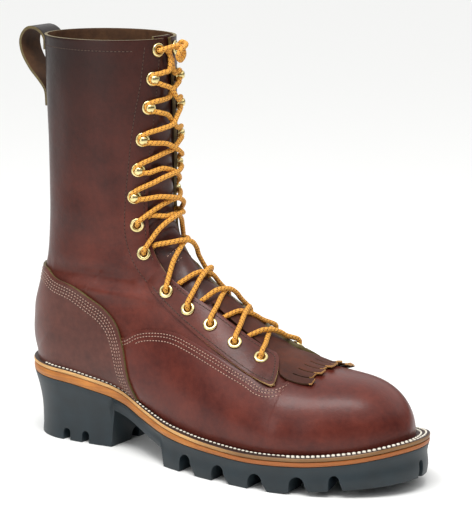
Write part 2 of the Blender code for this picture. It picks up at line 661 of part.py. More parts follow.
def make_welt():
    """Leather strip round the upper, stitched down on the midsole."""
    x = sole_stations()
    inner = through(WELT_WIDE, x)
    ring = []
    for inset, lift in ((0, GAP), (0, GAP + WELT), (inner, GAP + WELT), (inner, GAP)):
        lateral, medial = edge(LATERAL, x, inset), edge(MEDIAL, x, inset)
        plan = np.concatenate([lateral, medial[-2:0:-1]])
        ring.append(np.column_stack([plan, seat(plan[:, 0]) + lift]))
    count = len(ring[0])
    faces = []
    for a in range(4):
        b = (a + 1) % 4
        faces += [(a * count + k, a * count + (k + 1) % count, b * count + (k + 1) % count, b * count + k)
                  for k in range(count)]
    solid("welt", np.concatenate(ring), faces, LOOKS["edge"])


@functools.cache
def facets(lift):
    """The flat faces of the upper's grid at a lift, with the throat filled in."""
    faces = upper_faces(0, len(STATIONS) - 1, lambda i, j: True)
    return BVHTree.FromPolygons([tuple(p) for p in upper_layer(lift)], faces)


def seat_of(row, arc, lift, above):
    """A place clear above the flat faces, its normal and the direction away from the throat."""
    side = LATERAL if arc < 0 else MEDIAL
    middle = skin(row, [arc], lift)[0]
    inward = skin(row, [arc], lift - 1)[0] - middle
    tree = facets(lift)
    found = tree.ray_cast(Vector(middle - inward * WALL), Vector(inward))
    here, normal = np.array(found[0]), np.array(found[1]) * -np.sign(np.array(found[1]) @ inward)
    away = skin(row, [arc + side], lift)[0] - middle
    away -= normal * (away @ normal)
    away /= np.linalg.norm(away)
    height = [0.0]
    for turn in np.linspace(0, 2 * math.pi, 2 * EYELET_SIDES + 1)[1:]:
        place = here + EYELET_OUTER * (away * math.cos(turn) + np.cross(normal, away) * math.sin(turn))
        below = tree.ray_cast(Vector(place + normal * WALL), Vector(-normal))[0]
        if below is not None:
            height.append((np.array(below) - here) @ normal)
    return here + normal * (max(height) + above), normal, away


def base_lift(row):
    """Top of the leather that carries an eyelet."""
    return GAP + EYESTAY_THICK if row < EYESTAY_END else 0.0


def eyelet_mesh():
    """A turned ring with a rounded flange."""
    profile = ((EYELET_HOLE, 0), (EYELET_OUTER, 0), (EYELET_OUTER - EYELET_EDGE, EYELET_HIGH),
               (EYELET_HOLE, EYELET_HIGH))
    points, faces = [], []
    for k in range(EYELET_SIDES):
        turn = 2 * math.pi * k / EYELET_SIDES
        points += [(r * math.cos(turn), r * math.sin(turn), z) for r, z in profile]
    n = len(profile)
    for k in range(EYELET_SIDES):
        after = (k + 1) % EYELET_SIDES
        faces += [(k * n + j, k * n + (j + 1) % n, after * n + (j + 1) % n, after * n + j) for j in range(n)]
    return points, faces


def hook_mesh():
    """A strip of brass that lies on the leather and turns back over itself."""
    points = []
    for k, (x, z, wide) in enumerate(HOOK_PATH):
        nearby = (HOOK_PATH[max(k - 1, 0)], HOOK_PATH[min(k + 1, len(HOOK_PATH) - 1)])
        dx, dz = nearby[1][0] - nearby[0][0], nearby[1][1] - nearby[0][1]
        length = math.hypot(dx, dz)
        nx, nz = -dz / length * HOOK_THICK / 2, dx / length * HOOK_THICK / 2
        points += [(x + s * nx, y, z + s * nz) for y in (-wide / 2, wide / 2) for s in (1, -1)]
    return points, strip_faces(len(HOOK_PATH))


def make_hardware():
    """Eyelets and hooks, a pair for each row of the lacing, counted from the toe up."""
    meshes = {}
    count = {"eyelet": 0, "hook": 0}
    for row, arc, kind in LACING:
        count[kind] += 1
        for side, word in ((LATERAL, "lateral"), (MEDIAL, "medial")):
            name = f"{kind}_{word}_{count[kind]}"
            if kind not in meshes:
                meshes[kind] = solid(name, *(eyelet_mesh() if kind == "eyelet" else hook_mesh()),
                                     LOOKS["brass"]).data
            made = bpy.data.objects.get(name) or bpy.data.objects.new(name, meshes[kind])
            if made.parent is None:
                bpy.context.collection.objects.link(made)
                made.parent = BOOT
            here, normal, away = seat_of(row, side * arc, base_lift(row), HARDWARE_GAP)
            made.location = here * MM
            made.rotation_euler = Matrix(np.stack([away, np.cross(normal, away), normal], 1)).to_euler()


def tube(path, radius, sides):
    """Points and faces of a round bar along a path."""
    path = np.array(path, float)
    along = np.gradient(path, axis=0)
    along /= np.linalg.norm(along, axis=1, keepdims=True)
    points, faces = [], []
    out = np.cross(along[0], (0.3, 0.2, 1.0))
    for here, ahead in zip(path, along):
        out = out - ahead * (out @ ahead)
        out /= np.linalg.norm(out)
        up = np.cross(ahead, out)
        for k in range(sides):
            turn = 2 * math.pi * k / sides
            points.append(here + radius * (out * math.cos(turn) + up * math.sin(turn)))
    for i in range(len(path) - 1):
        for k in range(sides):
            a, b = i * sides + k, i * sides + (k + 1) % sides
            faces.append((a, b, b + sides, a + sides))
    last = (len(path) - 1) * sides
    faces += [tuple(range(sides - 1, -1, -1)), tuple(range(last, last + sides))]
    return points, faces


def strand(lower, upper, side):
    """Path of one lace strand from its eyelet, over the throat, to the row above on the other side."""
    (row0, arc0, kind0), (row1, arc1, kind1) = lower, upper
    start, end = arc0 - LACE_CLEAR, arc1 - LACE_CLEAR
    lifts = [base_lift(row0) + LACE_LIFT, LACE_LIFT]
    if kind1 == "eyelet":
        end = half_gap(row1) - LACE_EDGE
        lifts[1] = LACE_ON_KILTIE if row1 < KILTIE[-1][0] + 1 else LACE_UNDER
    path = []
    for t in np.linspace(0, 1, LACE_POINTS):
        row = row0 + (row1 - row0) * (LACE_STEP + (1 - 2 * LACE_STEP) * t)
        arc = side * (start - (start + end) * t)
        lift = lifts[0] + (lifts[1] - lifts[0]) * t + LACE_ARCH * math.sin(math.pi * t)
        path.append(skin(row, [arc], lift)[0])
    return path


def make_laces():
    """Crossings of the lace, each with its two strands joined where they cross."""
    for k, (lower, upper) in enumerate(zip(LACING, LACING[1:]), 1):
        one = solid(f"lace_crossing_{k:02d}", *tube(strand(lower, upper, LATERAL), LACE / 2, LACE_SIDES),
                    LOOKS["lace"])
        other = solid(f"lace_strand_{k:02d}", *tube(strand(lower, upper, MEDIAL), LACE / 2, LACE_SIDES),
                      LOOKS["lace"])
        cut(one, other, "UNION")


def make_knot():
    """The knot in front of the top eyelets, one turn of cord."""
    here, normal = seat_of(LACING[-1][0], 0.0, 0.0, 0.0)[:2]
    up = np.array((0, 0, 1.0))
    across = np.array((0, 1.0, 0))
    path = np.array([here + normal * out + across * y + up * z for out, y, z in KNOT_PATH])
    fine = np.linspace(0, len(path) - 1, KNOT_POINTS)
    number = np.arange(len(path))
    smooth = np.stack([through(np.stack([number, path[:, k]], 1), fine) for k in range(3)], 1)
    curve = bpy.data.curves.new("lace_knot", "CURVE")
    curve.dimensions = "3D"
    curve.bevel_depth = LACE / 2 * MM
    curve.bevel_resolution = 2
    curve.use_fill_caps = True
    line = curve.splines.new("POLY")
    line.points.add(len(smooth) - 1)
    for point, place in zip(line.points, smooth):
        point.co = (*(place * MM), 1)
    curve.materials.append(LOOKS["lace"])
    made = bpy.data.objects.new("lace_knot", curve)
    bpy.context.collection.objects.link(made)
    made.parent = BOOT


LOOKS = {
    "leather": material("brown_leather", "4A2622", 0.45),
    "vamp": material("red_brown_leather", "5C2418", 0.35),
    "kiltie": material("matte_brown_leather", "5A3524", 0.65),
    "edge": material("tan_leather", "A8703A", 0.6),
    "insole": material("buff_board", "8C7355", 0.8),
    "rubber": material("black_rubber", "23262B", 0.6),
    "brass": material("brass", "C9A84C", 0.25, 1.0),
    "lace": material("gold_cord", "C98A2E", 0.75),
}
BOOT = bpy.data.objects.new("boot", None)
BOOT.location = [-v * MM for v in MIDDLE]
bpy.context.collection.objects.link(BOOT)
make_upper()
make_vamp()
make_counter()
make_eyestay(LATERAL)
make_eyestay(MEDIAL)
make_tongue()
make_kiltie()
make_backstay()
make_pull_loop()
make_outsole()
make_midsole()
make_insole()
make_welt()
make_hardware()
make_laces()
make_knot()
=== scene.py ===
import functools
import math

import bpy
import numpy as np
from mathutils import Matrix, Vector
from mathutils.bvhtree import BVHTree


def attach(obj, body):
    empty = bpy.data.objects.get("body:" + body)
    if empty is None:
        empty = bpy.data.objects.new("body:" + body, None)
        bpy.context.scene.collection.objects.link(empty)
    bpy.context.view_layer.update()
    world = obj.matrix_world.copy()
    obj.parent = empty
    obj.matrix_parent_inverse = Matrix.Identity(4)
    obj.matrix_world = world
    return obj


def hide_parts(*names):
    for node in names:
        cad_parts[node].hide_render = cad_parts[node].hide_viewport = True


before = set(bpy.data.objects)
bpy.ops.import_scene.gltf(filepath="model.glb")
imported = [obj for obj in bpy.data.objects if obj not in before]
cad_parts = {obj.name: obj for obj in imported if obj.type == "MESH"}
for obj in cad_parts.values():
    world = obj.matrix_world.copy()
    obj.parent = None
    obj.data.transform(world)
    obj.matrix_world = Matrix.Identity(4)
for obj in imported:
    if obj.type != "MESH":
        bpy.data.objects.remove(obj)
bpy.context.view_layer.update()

# Studio: a white floor and pale surroundings under one very large soft ceiling light, with a strip light
# above the toe and a weak light on the viewer's left. The camera stands at the photograph's angle.
MM = 0.001
EYE, LOOK_AT, LENS = (0.8963, -1.2852, 0.4771), (0.01229, 0.00661, 0.14585), 158.9
FLOOR_SIZE, SKY_STRENGTH = 24, 0.15
# Name, place, point it faces, width, depth, watts
LIGHTS = (
    ("ceiling", (-2.2, 3.4, 3.0), (-2.2, 3.4, 0), 15.0, 15.0, 680),
    ("overhead", (0.2, -0.40, 1.15), (0.12, 0, 0.06), 0.95, 0.38, 11),
    ("side", (-0.2, -1.25, 0.55), (-0.02, 0, 0.13), 0.7, 0.7, 3.5),
)


def linear(colour):
    """Linear colour of an sRGB hex."""
    channels = [int(colour[k:k + 2], 16) / 255 for k in (0, 2, 4)]
    return (*[c / 12.92 if c <= 0.04045 else ((c + 0.055) / 1.055) ** 2.4 for c in channels], 1)


def node(tree, kind, inputs, feeds=None, **settings):
    """A shader node; inputs are values, sockets or nodes, and its first output feeds a socket if given."""
    made = tree.nodes.new("ShaderNode" + kind)
    for name, value in settings.items():
        setattr(made, name, value)
    for name, value in inputs.items():
        if isinstance(value, bpy.types.Node):
            value = value.outputs[0]
        if isinstance(value, bpy.types.NodeSocket):
            tree.links.new(value, made.inputs[name])
        else:
            made.inputs[name].default_value = value
    if feeds is not None:
        tree.links.new(made.outputs[0], feeds)
    return made


def material(name, colour, roughness, **values):
    """A material with uniform values; returns it with its node tree and its shader's sockets."""
    made = bpy.data.materials.new(name)
    made.use_nodes = True
    sockets = made.node_tree.nodes["Principled BSDF"].inputs
    sockets["Base Color"].default_value = linear(colour)
    sockets["Roughness"].default_value = roughness
    for socket, value in values.items():
        sockets[socket.replace("_", " ")].default_value = value
    return made, made.node_tree, sockets


def turned_to(place, aim):
    """Turn of a light or a camera at a place that faces a point."""
    return (Vector(aim) - Vector(place)).to_track_quat("-Z", "Y").to_euler()


bpy.ops.object.select_all(action="DESELECT")
bpy.ops.mesh.primitive_plane_add(size=FLOOR_SIZE)
floor = bpy.context.object
floor.name = "floor"
# Matte white paint: dull, so that the floor shows nothing but a soft shadow
floor.data.materials.append(material("white_floor", "F6F6F4", 0.9)[0])
bpy.context.scene.view_settings.view_transform = "Standard"
world = bpy.data.worlds.new("studio")
world.use_nodes = True
sky = world.node_tree.nodes["Background"].inputs
sky["Color"].default_value = linear("F4F6FA")
sky["Strength"].default_value = SKY_STRENGTH
bpy.context.scene.world = world
for name, place, aim, wide, deep, power in LIGHTS:
    bpy.ops.object.light_add(type="AREA", location=place)
    light = bpy.context.object
    light.name = name
    light.data.shape = "RECTANGLE"
    light.data.size, light.data.size_y = wide, deep
    light.data.energy = power
    light.rotation_euler = turned_to(place, aim)
bpy.ops.object.camera_add(location=EYE)
camera = bpy.context.object
camera.data.lens = LENS
camera.rotation_euler = turned_to(EYE, LOOK_AT)
bpy.context.scene.camera = camera

# Outsole: one moulded unit of black rubber with a heel, an arched waist and deep lugs. Its side is drawn in a
# little below the midsole, and the grooves between the lugs end in round arches.
GAP = 0.3
LATERAL, MEDIAL = -1, 1
SIDES = (LATERAL, MEDIAL)
# The boot's own millimetres count from its heel; this is where the frame's zero lies in them
MIDDLE = np.array((151.47, 1.74, 0.0))
BACK, TIP, TIP_Y, HEEL_END = -4.5, 318.0, 8.0, 36.0
# Outline of the sole: x, half width
OUTLINE = {
    LATERAL: ((36, 39), (60, 37.5), (92, 34), (118, 41), (150, 50.5), (183, 55.4), (215, 56.7)),
    MEDIAL: ((36, 39), (60, 37), (84, 33.5), (101, 32.5), (116, 34), (132, 38.5), (155, 46), (182, 54.5),
             (210, 59), (241, 60.3)),
}
TOE_POWER = {LATERAL: 1.85, MEDIAL: 2.05}
# Top of the midsole and its thickness along the foot
SEAT = ((-5, 54.5), (40, 52), (80, 46), (110, 36.5), (140, 28.5), (175, 24), (210, 22), (250, 23.5),
        (285, 27.5), (318, 34.5))
MIDSOLE = ((-5, 6), (80, 6), (140, 5), (200, 3.2), (318, 3.2))
HEEL_FRONT, BREAST, LUG_START, WAIST, PLATE = 80.0, 3.0, 138.0, 11.0, 7.0
TREAD = ((-5, 0), (232, 0), (255, 2.5), (275, 4.8), (305, 8), (318, 10))
# Side of the rubber at the heel and at the forefoot: share of its depth, inset
HEEL_SIDE = ((0, 0.6), (0.15, 2.6), (0.35, 4.8), (0.6, 6.2), (0.85, 6.4), (1, 6.0))
FORE_SIDE = ((0, 0.6), (0.3, 1.8), (0.7, 1.0), (1, 1.8))
SOLE_STATIONS, SIDE_LEVELS = 130, 9
# Grooves in plan: from x, y to x, y, width
FOREFOOT_GROOVES = (
    (288, -75, 268, -12, 7), (267, -14, 274, 10, 6), (275, 6, 262, 21, 6), (263, 19, 244, 75, 7),
    (270, 6, 330, 9, 5), (262, 17, 310, 56, 5),
    (256, -75, 250, -24, 11), (250, -26, 246, 4, 6), (224, -75, 220, -24, 11), (220, -26, 223, 4, 6),
    (192, -75, 190, -24, 10), (190, -26, 195, 4, 6), (162, -75, 160, -24, 10), (160, -26, 165, 4, 6),
    (132, -23, 262, -29, 5), (132, 3, 268, 6, 11), (132, 24, 222, 30, 5),
    (217, 80, 222, 24, 10), (222, 26, 233, 4, 6), (186, 80, 191, 24, 9), (191, 26, 201, 4, 6),
    (157, 80, 161, 24, 9), (161, 26, 169, 4, 6),
)
HEEL_GROOVES = (
    (39, -60, 42, -14, 6), (58, -60, 57, -14, 6), (39, 60, 42, 14, 6), (58, 60, 57, 14, 6),
    (95, 0, 16, 0, 9), (40, -16, 62, 3, 5), (40, 16, 62, -3, 5),
)
HEEL_GROOVE, CUT_BELOW = 9.0, -2
# A groove at least this wide that starts beyond this y opens towards the floor, most of it in front
FLARE, FLARE_WIDE, FLARE_Y, FLARE_BACK = 5.5, 7, 60, 0.2
LUG_EDGE = 0.7


def through(rows, at):
    """A smooth line through rows of place and value, without overshoot."""
    place, value = np.array(rows, float).T
    step = np.diff(place)
    rise = np.diff(value) / step
    slope = np.zeros(len(place))
    slope[0], slope[-1] = rise[0], rise[-1]
    same = rise[:-1] * rise[1:] > 0
    slope[1:-1][same] = (2 * rise[:-1] * rise[1:])[same] / (rise[:-1] + rise[1:])[same]
    i = np.clip(np.searchsorted(place, at) - 1, 0, len(step) - 1)
    t = (at - place[i]) / step[i]
    near = (1 + 2 * t) * (1 - t) ** 2 * value[i] + t * (1 - t) ** 2 * step[i] * slope[i]
    return near + t * t * (3 - 2 * t) * value[i + 1] - t * t * (1 - t) * step[i] * slope[i + 1]


def unit(vectors):
    """Vectors brought to the length 1."""
    return vectors / np.linalg.norm(vectors, axis=-1, keepdims=True)


def outline(side, x):
    """Half width of the sole at x, round at the heel and a superellipse at the toe."""
    rows = OUTLINE[side]
    heel = rows[0][1] * np.sqrt(np.clip(1 - ((HEEL_END - x) / (HEEL_END - BACK)) ** 2, 0, 1))
    start, width = rows[-1]
    power = TOE_POWER[side]
    tip = side * TIP_Y
    reach = np.clip((x - start) / (TIP - start), 0, 1)
    toe = tip + (width - tip) * (1 - reach**power) ** (1 / power)
    return np.where(x < HEEL_END, heel, np.where(x > start, toe, through(rows, x)))


def along_sole(turn):
    """Place along the sole at a turn from 0 at its back to pi at its tip, so that its ends are fine."""
    return BACK + (TIP - BACK) * (1 - np.cos(turn)) / 2


def edge(side, x, inset):
    """Points of the sole's outline at x, moved in by an inset."""
    turn = np.arccos(1 - 2 * (np.asarray(x, float) - BACK) / (TIP - BACK))
    step = 0.002

    def place(angle):
        """Point of the outline at a turn."""
        at = along_sole(np.clip(angle, 0, math.pi))
        return np.stack([at, side * outline(side, at)], -1)

    along = unit(place(turn + step) - place(turn - step))
    inward = np.stack([along[..., 1], -along[..., 0]], -1) * side
    points = place(turn) + inward * (np.zeros(np.shape(x)) + inset)[..., None]
    points[turn <= 0, 1] = 0
    points[turn >= math.pi, 1] = TIP_Y
    return points


def seat(x):
    """Top of the midsole."""
    return through(SEAT, x)


def midsole_bottom(x):
    """Underside of the midsole."""
    return seat(x) - through(MIDSOLE, x)


def rubber_top(x):
    """Top of the rubber, just under the midsole."""
    return midsole_bottom(x) - GAP


def rubber_bottom(x):
    """Floor under heel and forefoot, and the arch of the waist between them."""
    waist = (x > HEEL_FRONT + BREAST / 2) & (x < LUG_START - BREAST / 2)
    return np.where(waist, rubber_top(x) - WAIST, through(TREAD, x))


def choose(piece):
    """Makes a piece the only selected and the active one."""
    bpy.ops.object.select_all(action="DESELECT")
    piece.select_set(True)
    bpy.context.view_layer.objects.active = piece


def in_frame(points):
    """Points in the boot's own millimetres as places in the frame."""
    return (np.asarray(points) - MIDDLE) * MM


def mesh_piece(name, points, faces):
    """An object from points in the boot's own millimetres, with its faces turned outwards."""
    mesh = bpy.data.meshes.new(name)
    mesh.from_pydata([tuple(p) for p in in_frame(points)], [], faces)
    made = bpy.data.objects.new(name, mesh)
    bpy.context.collection.objects.link(made)
    choose(made)
    bpy.ops.object.mode_set(mode="EDIT")
    bpy.ops.mesh.select_all(action="SELECT")
    bpy.ops.mesh.remove_doubles(threshold=0.002 * MM)
    bpy.ops.mesh.normals_make_consistent(inside=False)
    bpy.ops.object.mode_set(mode="OBJECT")
    return made


def modify(piece, kind, **settings):
    """Adds a modifier and applies it."""
    step = piece.modifiers.new(kind.lower(), kind)
    for name, value in settings.items():
        setattr(step, name, value)
    choose(piece)
    bpy.ops.object.modifier_apply(modifier=step.name)


def smooth(piece, degrees):
    """Shades a piece smooth, apart from edges sharper than an angle."""
    choose(piece)
    bpy.ops.object.shade_smooth_by_angle(angle=math.radians(degrees))


def fitted(piece, slot, *nodes):
    """Fixes a finished piece to the boot, in place of the plain solids that it stands for."""
    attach(piece, "root")
    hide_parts(*nodes)


def walls(count, rings, closed=False):
    """Faces between neighbouring rings of points; the last ring meets the first if closed."""
    pairs = [(a * count, (a + 1) % rings * count) for a in range(rings if closed else rings - 1)]
    return [(a + k, a + (k + 1) % count, b + (k + 1) % count, b + k)
            for a, b in pairs for k in range(count)]


def copies(shapes, faces):
    """Points and faces of some shapes, whose faces are alike, as one mesh."""
    count = len(shapes[0])
    numbered = [tuple(i + n * count for i in face) for n in range(len(shapes)) for face in faces]
    return np.concatenate(shapes), numbered


def layer(name, x, top, bottom, insets):
    """A layer of the sole between two heights, from rows of share of its depth and inset from the edge."""
    rings = []
    for share, inset in insets:
        plan = np.concatenate([edge(LATERAL, x, inset), edge(MEDIAL, x, inset)[::-1]])
        high, low = top(plan[:, 0]), bottom(plan[:, 0])
        rings.append(np.column_stack([plan, high + (low - high) * share]))
    count = len(rings[0])
    faces = walls(count, len(rings))
    for start in (0, (len(rings) - 1) * count):
        for k in range(len(x) - 1):
            far = start + count - 1 - k
            faces.append((start + k, start + k + 1, far - 1, far))
    return mesh_piece(name, np.concatenate(rings), faces)


def fine_stations(count, *steps):
    """Places along the sole, close together at both ends, with those of its steps."""
    return np.unique(np.concatenate([along_sole(np.linspace(0, math.pi, count)), steps]).round(3))


def arch(x0, y0, x1, y1, wide, tops):
    """Points of a groove's cutter with a round top, flared where it comes out at the side."""
    length = math.hypot(x1 - x0, y1 - y0)
    nx, ny = -(y1 - y0) / length, (x1 - x0) / length
    if nx < 0:
        nx, ny = -nx, -ny
    flare = FLARE if wide >= FLARE_WIDE and abs(y0) > FLARE_Y else 0.0
    half = wide / 2
    turns = np.linspace(0, math.pi, 9)
    points = []
    for x, y, top in ((x0, y0, tops[0]), (x1, y1, tops[1])):
        profile = [(-half - flare * FLARE_BACK, CUT_BELOW), (half + flare, CUT_BELOW)]
        profile += [(half * math.cos(t), top + half * (math.sin(t) - 1)) for t in turns]
        points += [(x + nx * n, y + ny * n, z) for n, z in profile]
    return points


sole_x = fine_stations(SOLE_STATIONS, HEEL_FRONT, HEEL_FRONT + BREAST, LUG_START - BREAST, LUG_START)
heelward = np.interp(sole_x, (HEEL_FRONT, LUG_START), (1, 0))
rubber_sides = []
for share in np.linspace(0, 1, SIDE_LEVELS):
    back, fore = float(through(HEEL_SIDE, share)), float(through(FORE_SIDE, share))
    rubber_sides.append((share, fore + (back - fore) * heelward))
outsole = layer("outsole_rubber", sole_x, rubber_top, rubber_bottom, rubber_sides)
arches = []
for groove in (*FOREFOOT_GROOVES, *HEEL_GROOVES):
    tops = [float(rubber_top(np.clip(at, BACK, TIP))) - PLATE for at in (groove[0], groove[2])]
    arches.append(arch(*groove, (HEEL_GROOVE, HEEL_GROOVE) if groove in HEEL_GROOVES else tops))
end = len(arches[0]) // 2
arch_faces = [tuple(range(end)), tuple(range(2 * end - 1, end - 1, -1)), *walls(end, 2)]
cutter = mesh_piece("groove_cutter", *copies(arches, arch_faces))
modify(outsole, "BOOLEAN", operation="DIFFERENCE", object=cutter, use_self=True)
bpy.data.objects.remove(cutter)
modify(outsole, "BEVEL", width=LUG_EDGE * MM, segments=2, limit_method="ANGLE", angle_limit=math.radians(40))
smooth(outsole, 35)

# Moulded black rubber: nearly black with a bluish bloom, and a fine grain that breaks up its shine
rubber, tree, sockets = material("black_rubber", "1A2026", 0.48)
coords = node(tree, "TexCoord", {}).outputs["Object"]
bloom = node(tree, "TexNoise", {"Vector": coords, "Scale": 1 / (12 * MM), "Detail": 4})
node(tree, "MixRGB", {"Fac": bloom, "Color1": linear("081216"), "Color2": linear("182A32")},
     sockets["Base Color"])
moulded = node(tree, "TexNoise", {"Vector": coords, "Scale": 1 / (0.7 * MM), "Detail": 2})
node(tree, "Bump", {"Height": moulded, "Strength": 0.25, "Distance": 0.2 * MM}, sockets["Normal"])
outsole.data.materials.append(rubber)
fitted(outsole, "rubber", "outsole")

# Midsole: a layer of tan sole leather between the welt and the rubber. It is cemented to the rubber, and its
# cut edge is trimmed round and waxed.
# Edge of the midsole: share of its depth, inset
MIDSOLE_SIDE = ((0, 0.9), (0.12, 0.35), (0.5, 0.2), (0.88, 0.35), (1, 0.9))
midsole = layer("midsole_leather", fine_stations(SOLE_STATIONS), seat, midsole_bottom, MIDSOLE_SIDE)
smooth(midsole, 50)


def cut_leather(name, dark, light, layer_mm, front=None):
    """Raw waxed leather edge with fine lines along its layers; of another tone towards the toe if given."""
    made, tree, sockets = material(name, light, 0.5)
    coords = node(tree, "TexCoord", {}).outputs["Object"]
    length = 1 / (40 * MM)
    flat = node(tree, "Mapping", {"Vector": coords, "Scale": (length, length, 1 / (layer_mm * MM))})
    lines = node(tree, "TexNoise", {"Vector": flat, "Scale": 1.0, "Detail": 3})
    patch = node(tree, "TexNoise", {"Vector": coords, "Scale": 1 / (20 * MM), "Detail": 3})
    mixed = node(tree, "Math", {0: lines, 1: patch, 2: 0.12}, operation="MULTIPLY_ADD")
    spread = node(tree, "MapRange", {"Value": mixed, "From Min": 0.15, "From Max": 0.55})
    tone = node(tree, "MixRGB", {"Fac": spread, "Color1": linear(dark), "Color2": linear(light)})
    if front:
        x = node(tree, "SeparateXYZ", {"Vector": coords}).outputs["X"]
        share = node(tree, "MapRange", {"Value": x, "From Min": 10 * MM, "From Max": 60 * MM, "To Max": 0.8})
        tone = node(tree, "MixRGB", {"Fac": share, "Color1": tone, "Color2": linear(front)})
    tree.links.new(tone.outputs["Color"], sockets["Base Color"])
    node(tree, "Bump", {"Height": lines, "Strength": 0.2, "Distance": 0.2 * MM}, sockets["Normal"])
    return made


# Cut sole leather: warm tan in fine layers, with the dull gloss of edge wax
midsole.data.materials.append(cut_leather("tan_midsole_edge", "8A4E1C", "C07A30", 1.2, "96521E"))
fitted(midsole, "tan_edge", "midsole")

# Welt: a strip of leather round the upper, stitched down through the midsole with heavy white thread. Its top
# is stained dark and its cut edge is left tan.
WELT_WIDE = ((-5, 3.8), (20, 4.9), (55, 3.7), (85, 2.7), (105, 2.6), (130, 4.2), (160, 6.3), (200, 7.6),
             (240, 6.6), (275, 8.0), (318, 9.8))
WELT_BOTTOM, WELT_TOP, WELT_TUCK = 0.3, 3.3, 1.5
# Rounding of the outer edge: inset, height above the midsole
WELT_EDGE = ((0.9, WELT_BOTTOM), (0.25, 0.7), (0, 1.4), (0, 2.3), (0.3, 3.0), (1.0, WELT_TOP))
# Rows of stitches: share of the welt's width, first x
WELT_ROWS = ((0.66, 20), (0.3, 245))
welt_x = fine_stations(160)
welt_wide = through(WELT_WIDE, welt_x)
welt_rings = []
for inset, lift in (*WELT_EDGE, (welt_wide, WELT_TOP), (welt_wide + WELT_TUCK, WELT_TOP),
                    (welt_wide + WELT_TUCK, WELT_BOTTOM)):
    plan = np.concatenate([edge(LATERAL, welt_x, inset), edge(MEDIAL, welt_x, inset)[-2:0:-1]])
    welt_rings.append(np.column_stack([plan, seat(plan[:, 0]) + lift]))
welt_faces = walls(len(welt_rings[0]), len(welt_rings), closed=True)
welt = mesh_piece("welt_leather", np.concatenate(welt_rings), welt_faces)
# Cut welt leather: pale tan at the waist, browner round the toe; on top a nearly black stain
welt.data.materials.append(cut_leather("tan_welt_edge", "A8743A", "DDB070", 1.0, "5E3C1C"))
welt.data.materials.append(cut_leather("dark_welt_top", "1E0F0B", "3A2016", 2.0))
welt.data.polygons.foreach_set("material_index", [int(face.normal.z > 0.75) for face in welt.data.polygons])
smooth(welt, 50)
fitted(welt, "tan_edge", "welt")


def lengths(line):
    """Length along a line up to each of its points."""
    return np.concatenate([[0], np.cumsum(np.linalg.norm(np.diff(line, axis=0), axis=1))])


def at_lengths(line, length, marks):
    """The rows of a line, or of values along it, at marks on its length."""
    return np.stack([np.interp(marks, length, column) for column in line.T], 1)


def beads(name, runs, size, pitch, shift, sink):
    """Small rounded lengths laid end to end along lines with normals, as one mesh."""
    bpy.ops.mesh.primitive_uv_sphere_add(segments=8, ring_count=6, radius=0.5)
    made = bpy.context.object
    made.name = made.data.name = name
    ball = np.array([v.co for v in made.data.vertices]) * size
    ball_faces = [tuple(p.vertices) for p in made.data.polygons]
    shapes = []
    for line, normals in runs:
        length = lengths(line)
        marks = np.arange(pitch * (0.5 + shift), length[-1] - pitch * 0.4, pitch)
        here, before, after = [at_lengths(line, length, marks + step) for step in (0, -0.5, 0.5)]
        out = unit(at_lengths(normals, length, marks))
        along = after - before
        along = unit(along - out * np.sum(along * out, 1, keepdims=True))
        across = np.cross(out, along)
        turned = ball[None, :, :1] * along[:, None] + ball[None, :, 1:2] * across[:, None]
        shapes += list(turned + (ball[None, :, 2:] - sink) * out[:, None] + here[:, None])
    points, faces = copies(shapes, ball_faces)
    made.data.clear_geometry()
    made.data.from_pydata([tuple(p) for p in in_frame(points)], [], faces)
    choose(made)
    bpy.ops.object.shade_smooth()
    return made


# The shade inside a pierced hole: almost black, without any shine
hole_shade = material("painted_hole_shade", "170C08", 0.9)[0]


def sewn(name, runs, thread, length, thick, pitch):
    """A seam: raised stitches with a dark bead of painted shade for the needle hole between each two."""
    stitch = (length, thick, thick * 0.8)
    hole = (pitch - length + 0.45, thick * 0.9, 0.3)
    for word, size, shift, sink, look in (("_thread", stitch, 0, -thick * 0.1, thread),
                                          ("_holes", hole, 0.5, 0.0, hole_shade)):
        piece = beads(name + word, runs, np.array(size), pitch, shift, sink)
        piece.data.materials.append(look)
        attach(piece, "root")


def mottled(name, dark, light, roughness, **values):
    """A material whose tone is uneven in patches of about three millimetres."""
    made, tree, sockets = material(name, light, roughness, **values)
    coords = node(tree, "TexCoord", {}).outputs["Object"]
    patch = node(tree, "TexNoise", {"Vector": coords, "Scale": 1 / (3 * MM), "Detail": 3})
    node(tree, "MixRGB", {"Fac": patch, "Color1": linear(dark), "Color2": linear(light)},
         sockets["Base Color"])
    return made


def welt_line(share, first):
    """A line on the welt's top from the lateral side round the toe to the medial side, with its normals."""
    x = welt_x[welt_x > first]
    plan = [edge(side, x, through(WELT_WIDE, x) * share) for side in SIDES]
    plan = np.concatenate([plan[0], plan[1][::-1]])
    return np.column_stack([plan, seat(plan[:, 0]) + WELT_TOP]), np.tile((0, 0, 1.0), (len(plan), 1))


# Waxed thread: off-white with a dull sheen, a little soiled from stitch to stitch
THREAD_ROUGH = 0.6
white_thread = mottled("white_welt_thread", "CFC6B0", "F6F2E6", THREAD_ROUGH)
sewn("welt_seam", [welt_line(*row) for row in WELT_ROWS], white_thread, 2.9, 1.5, 3.5)

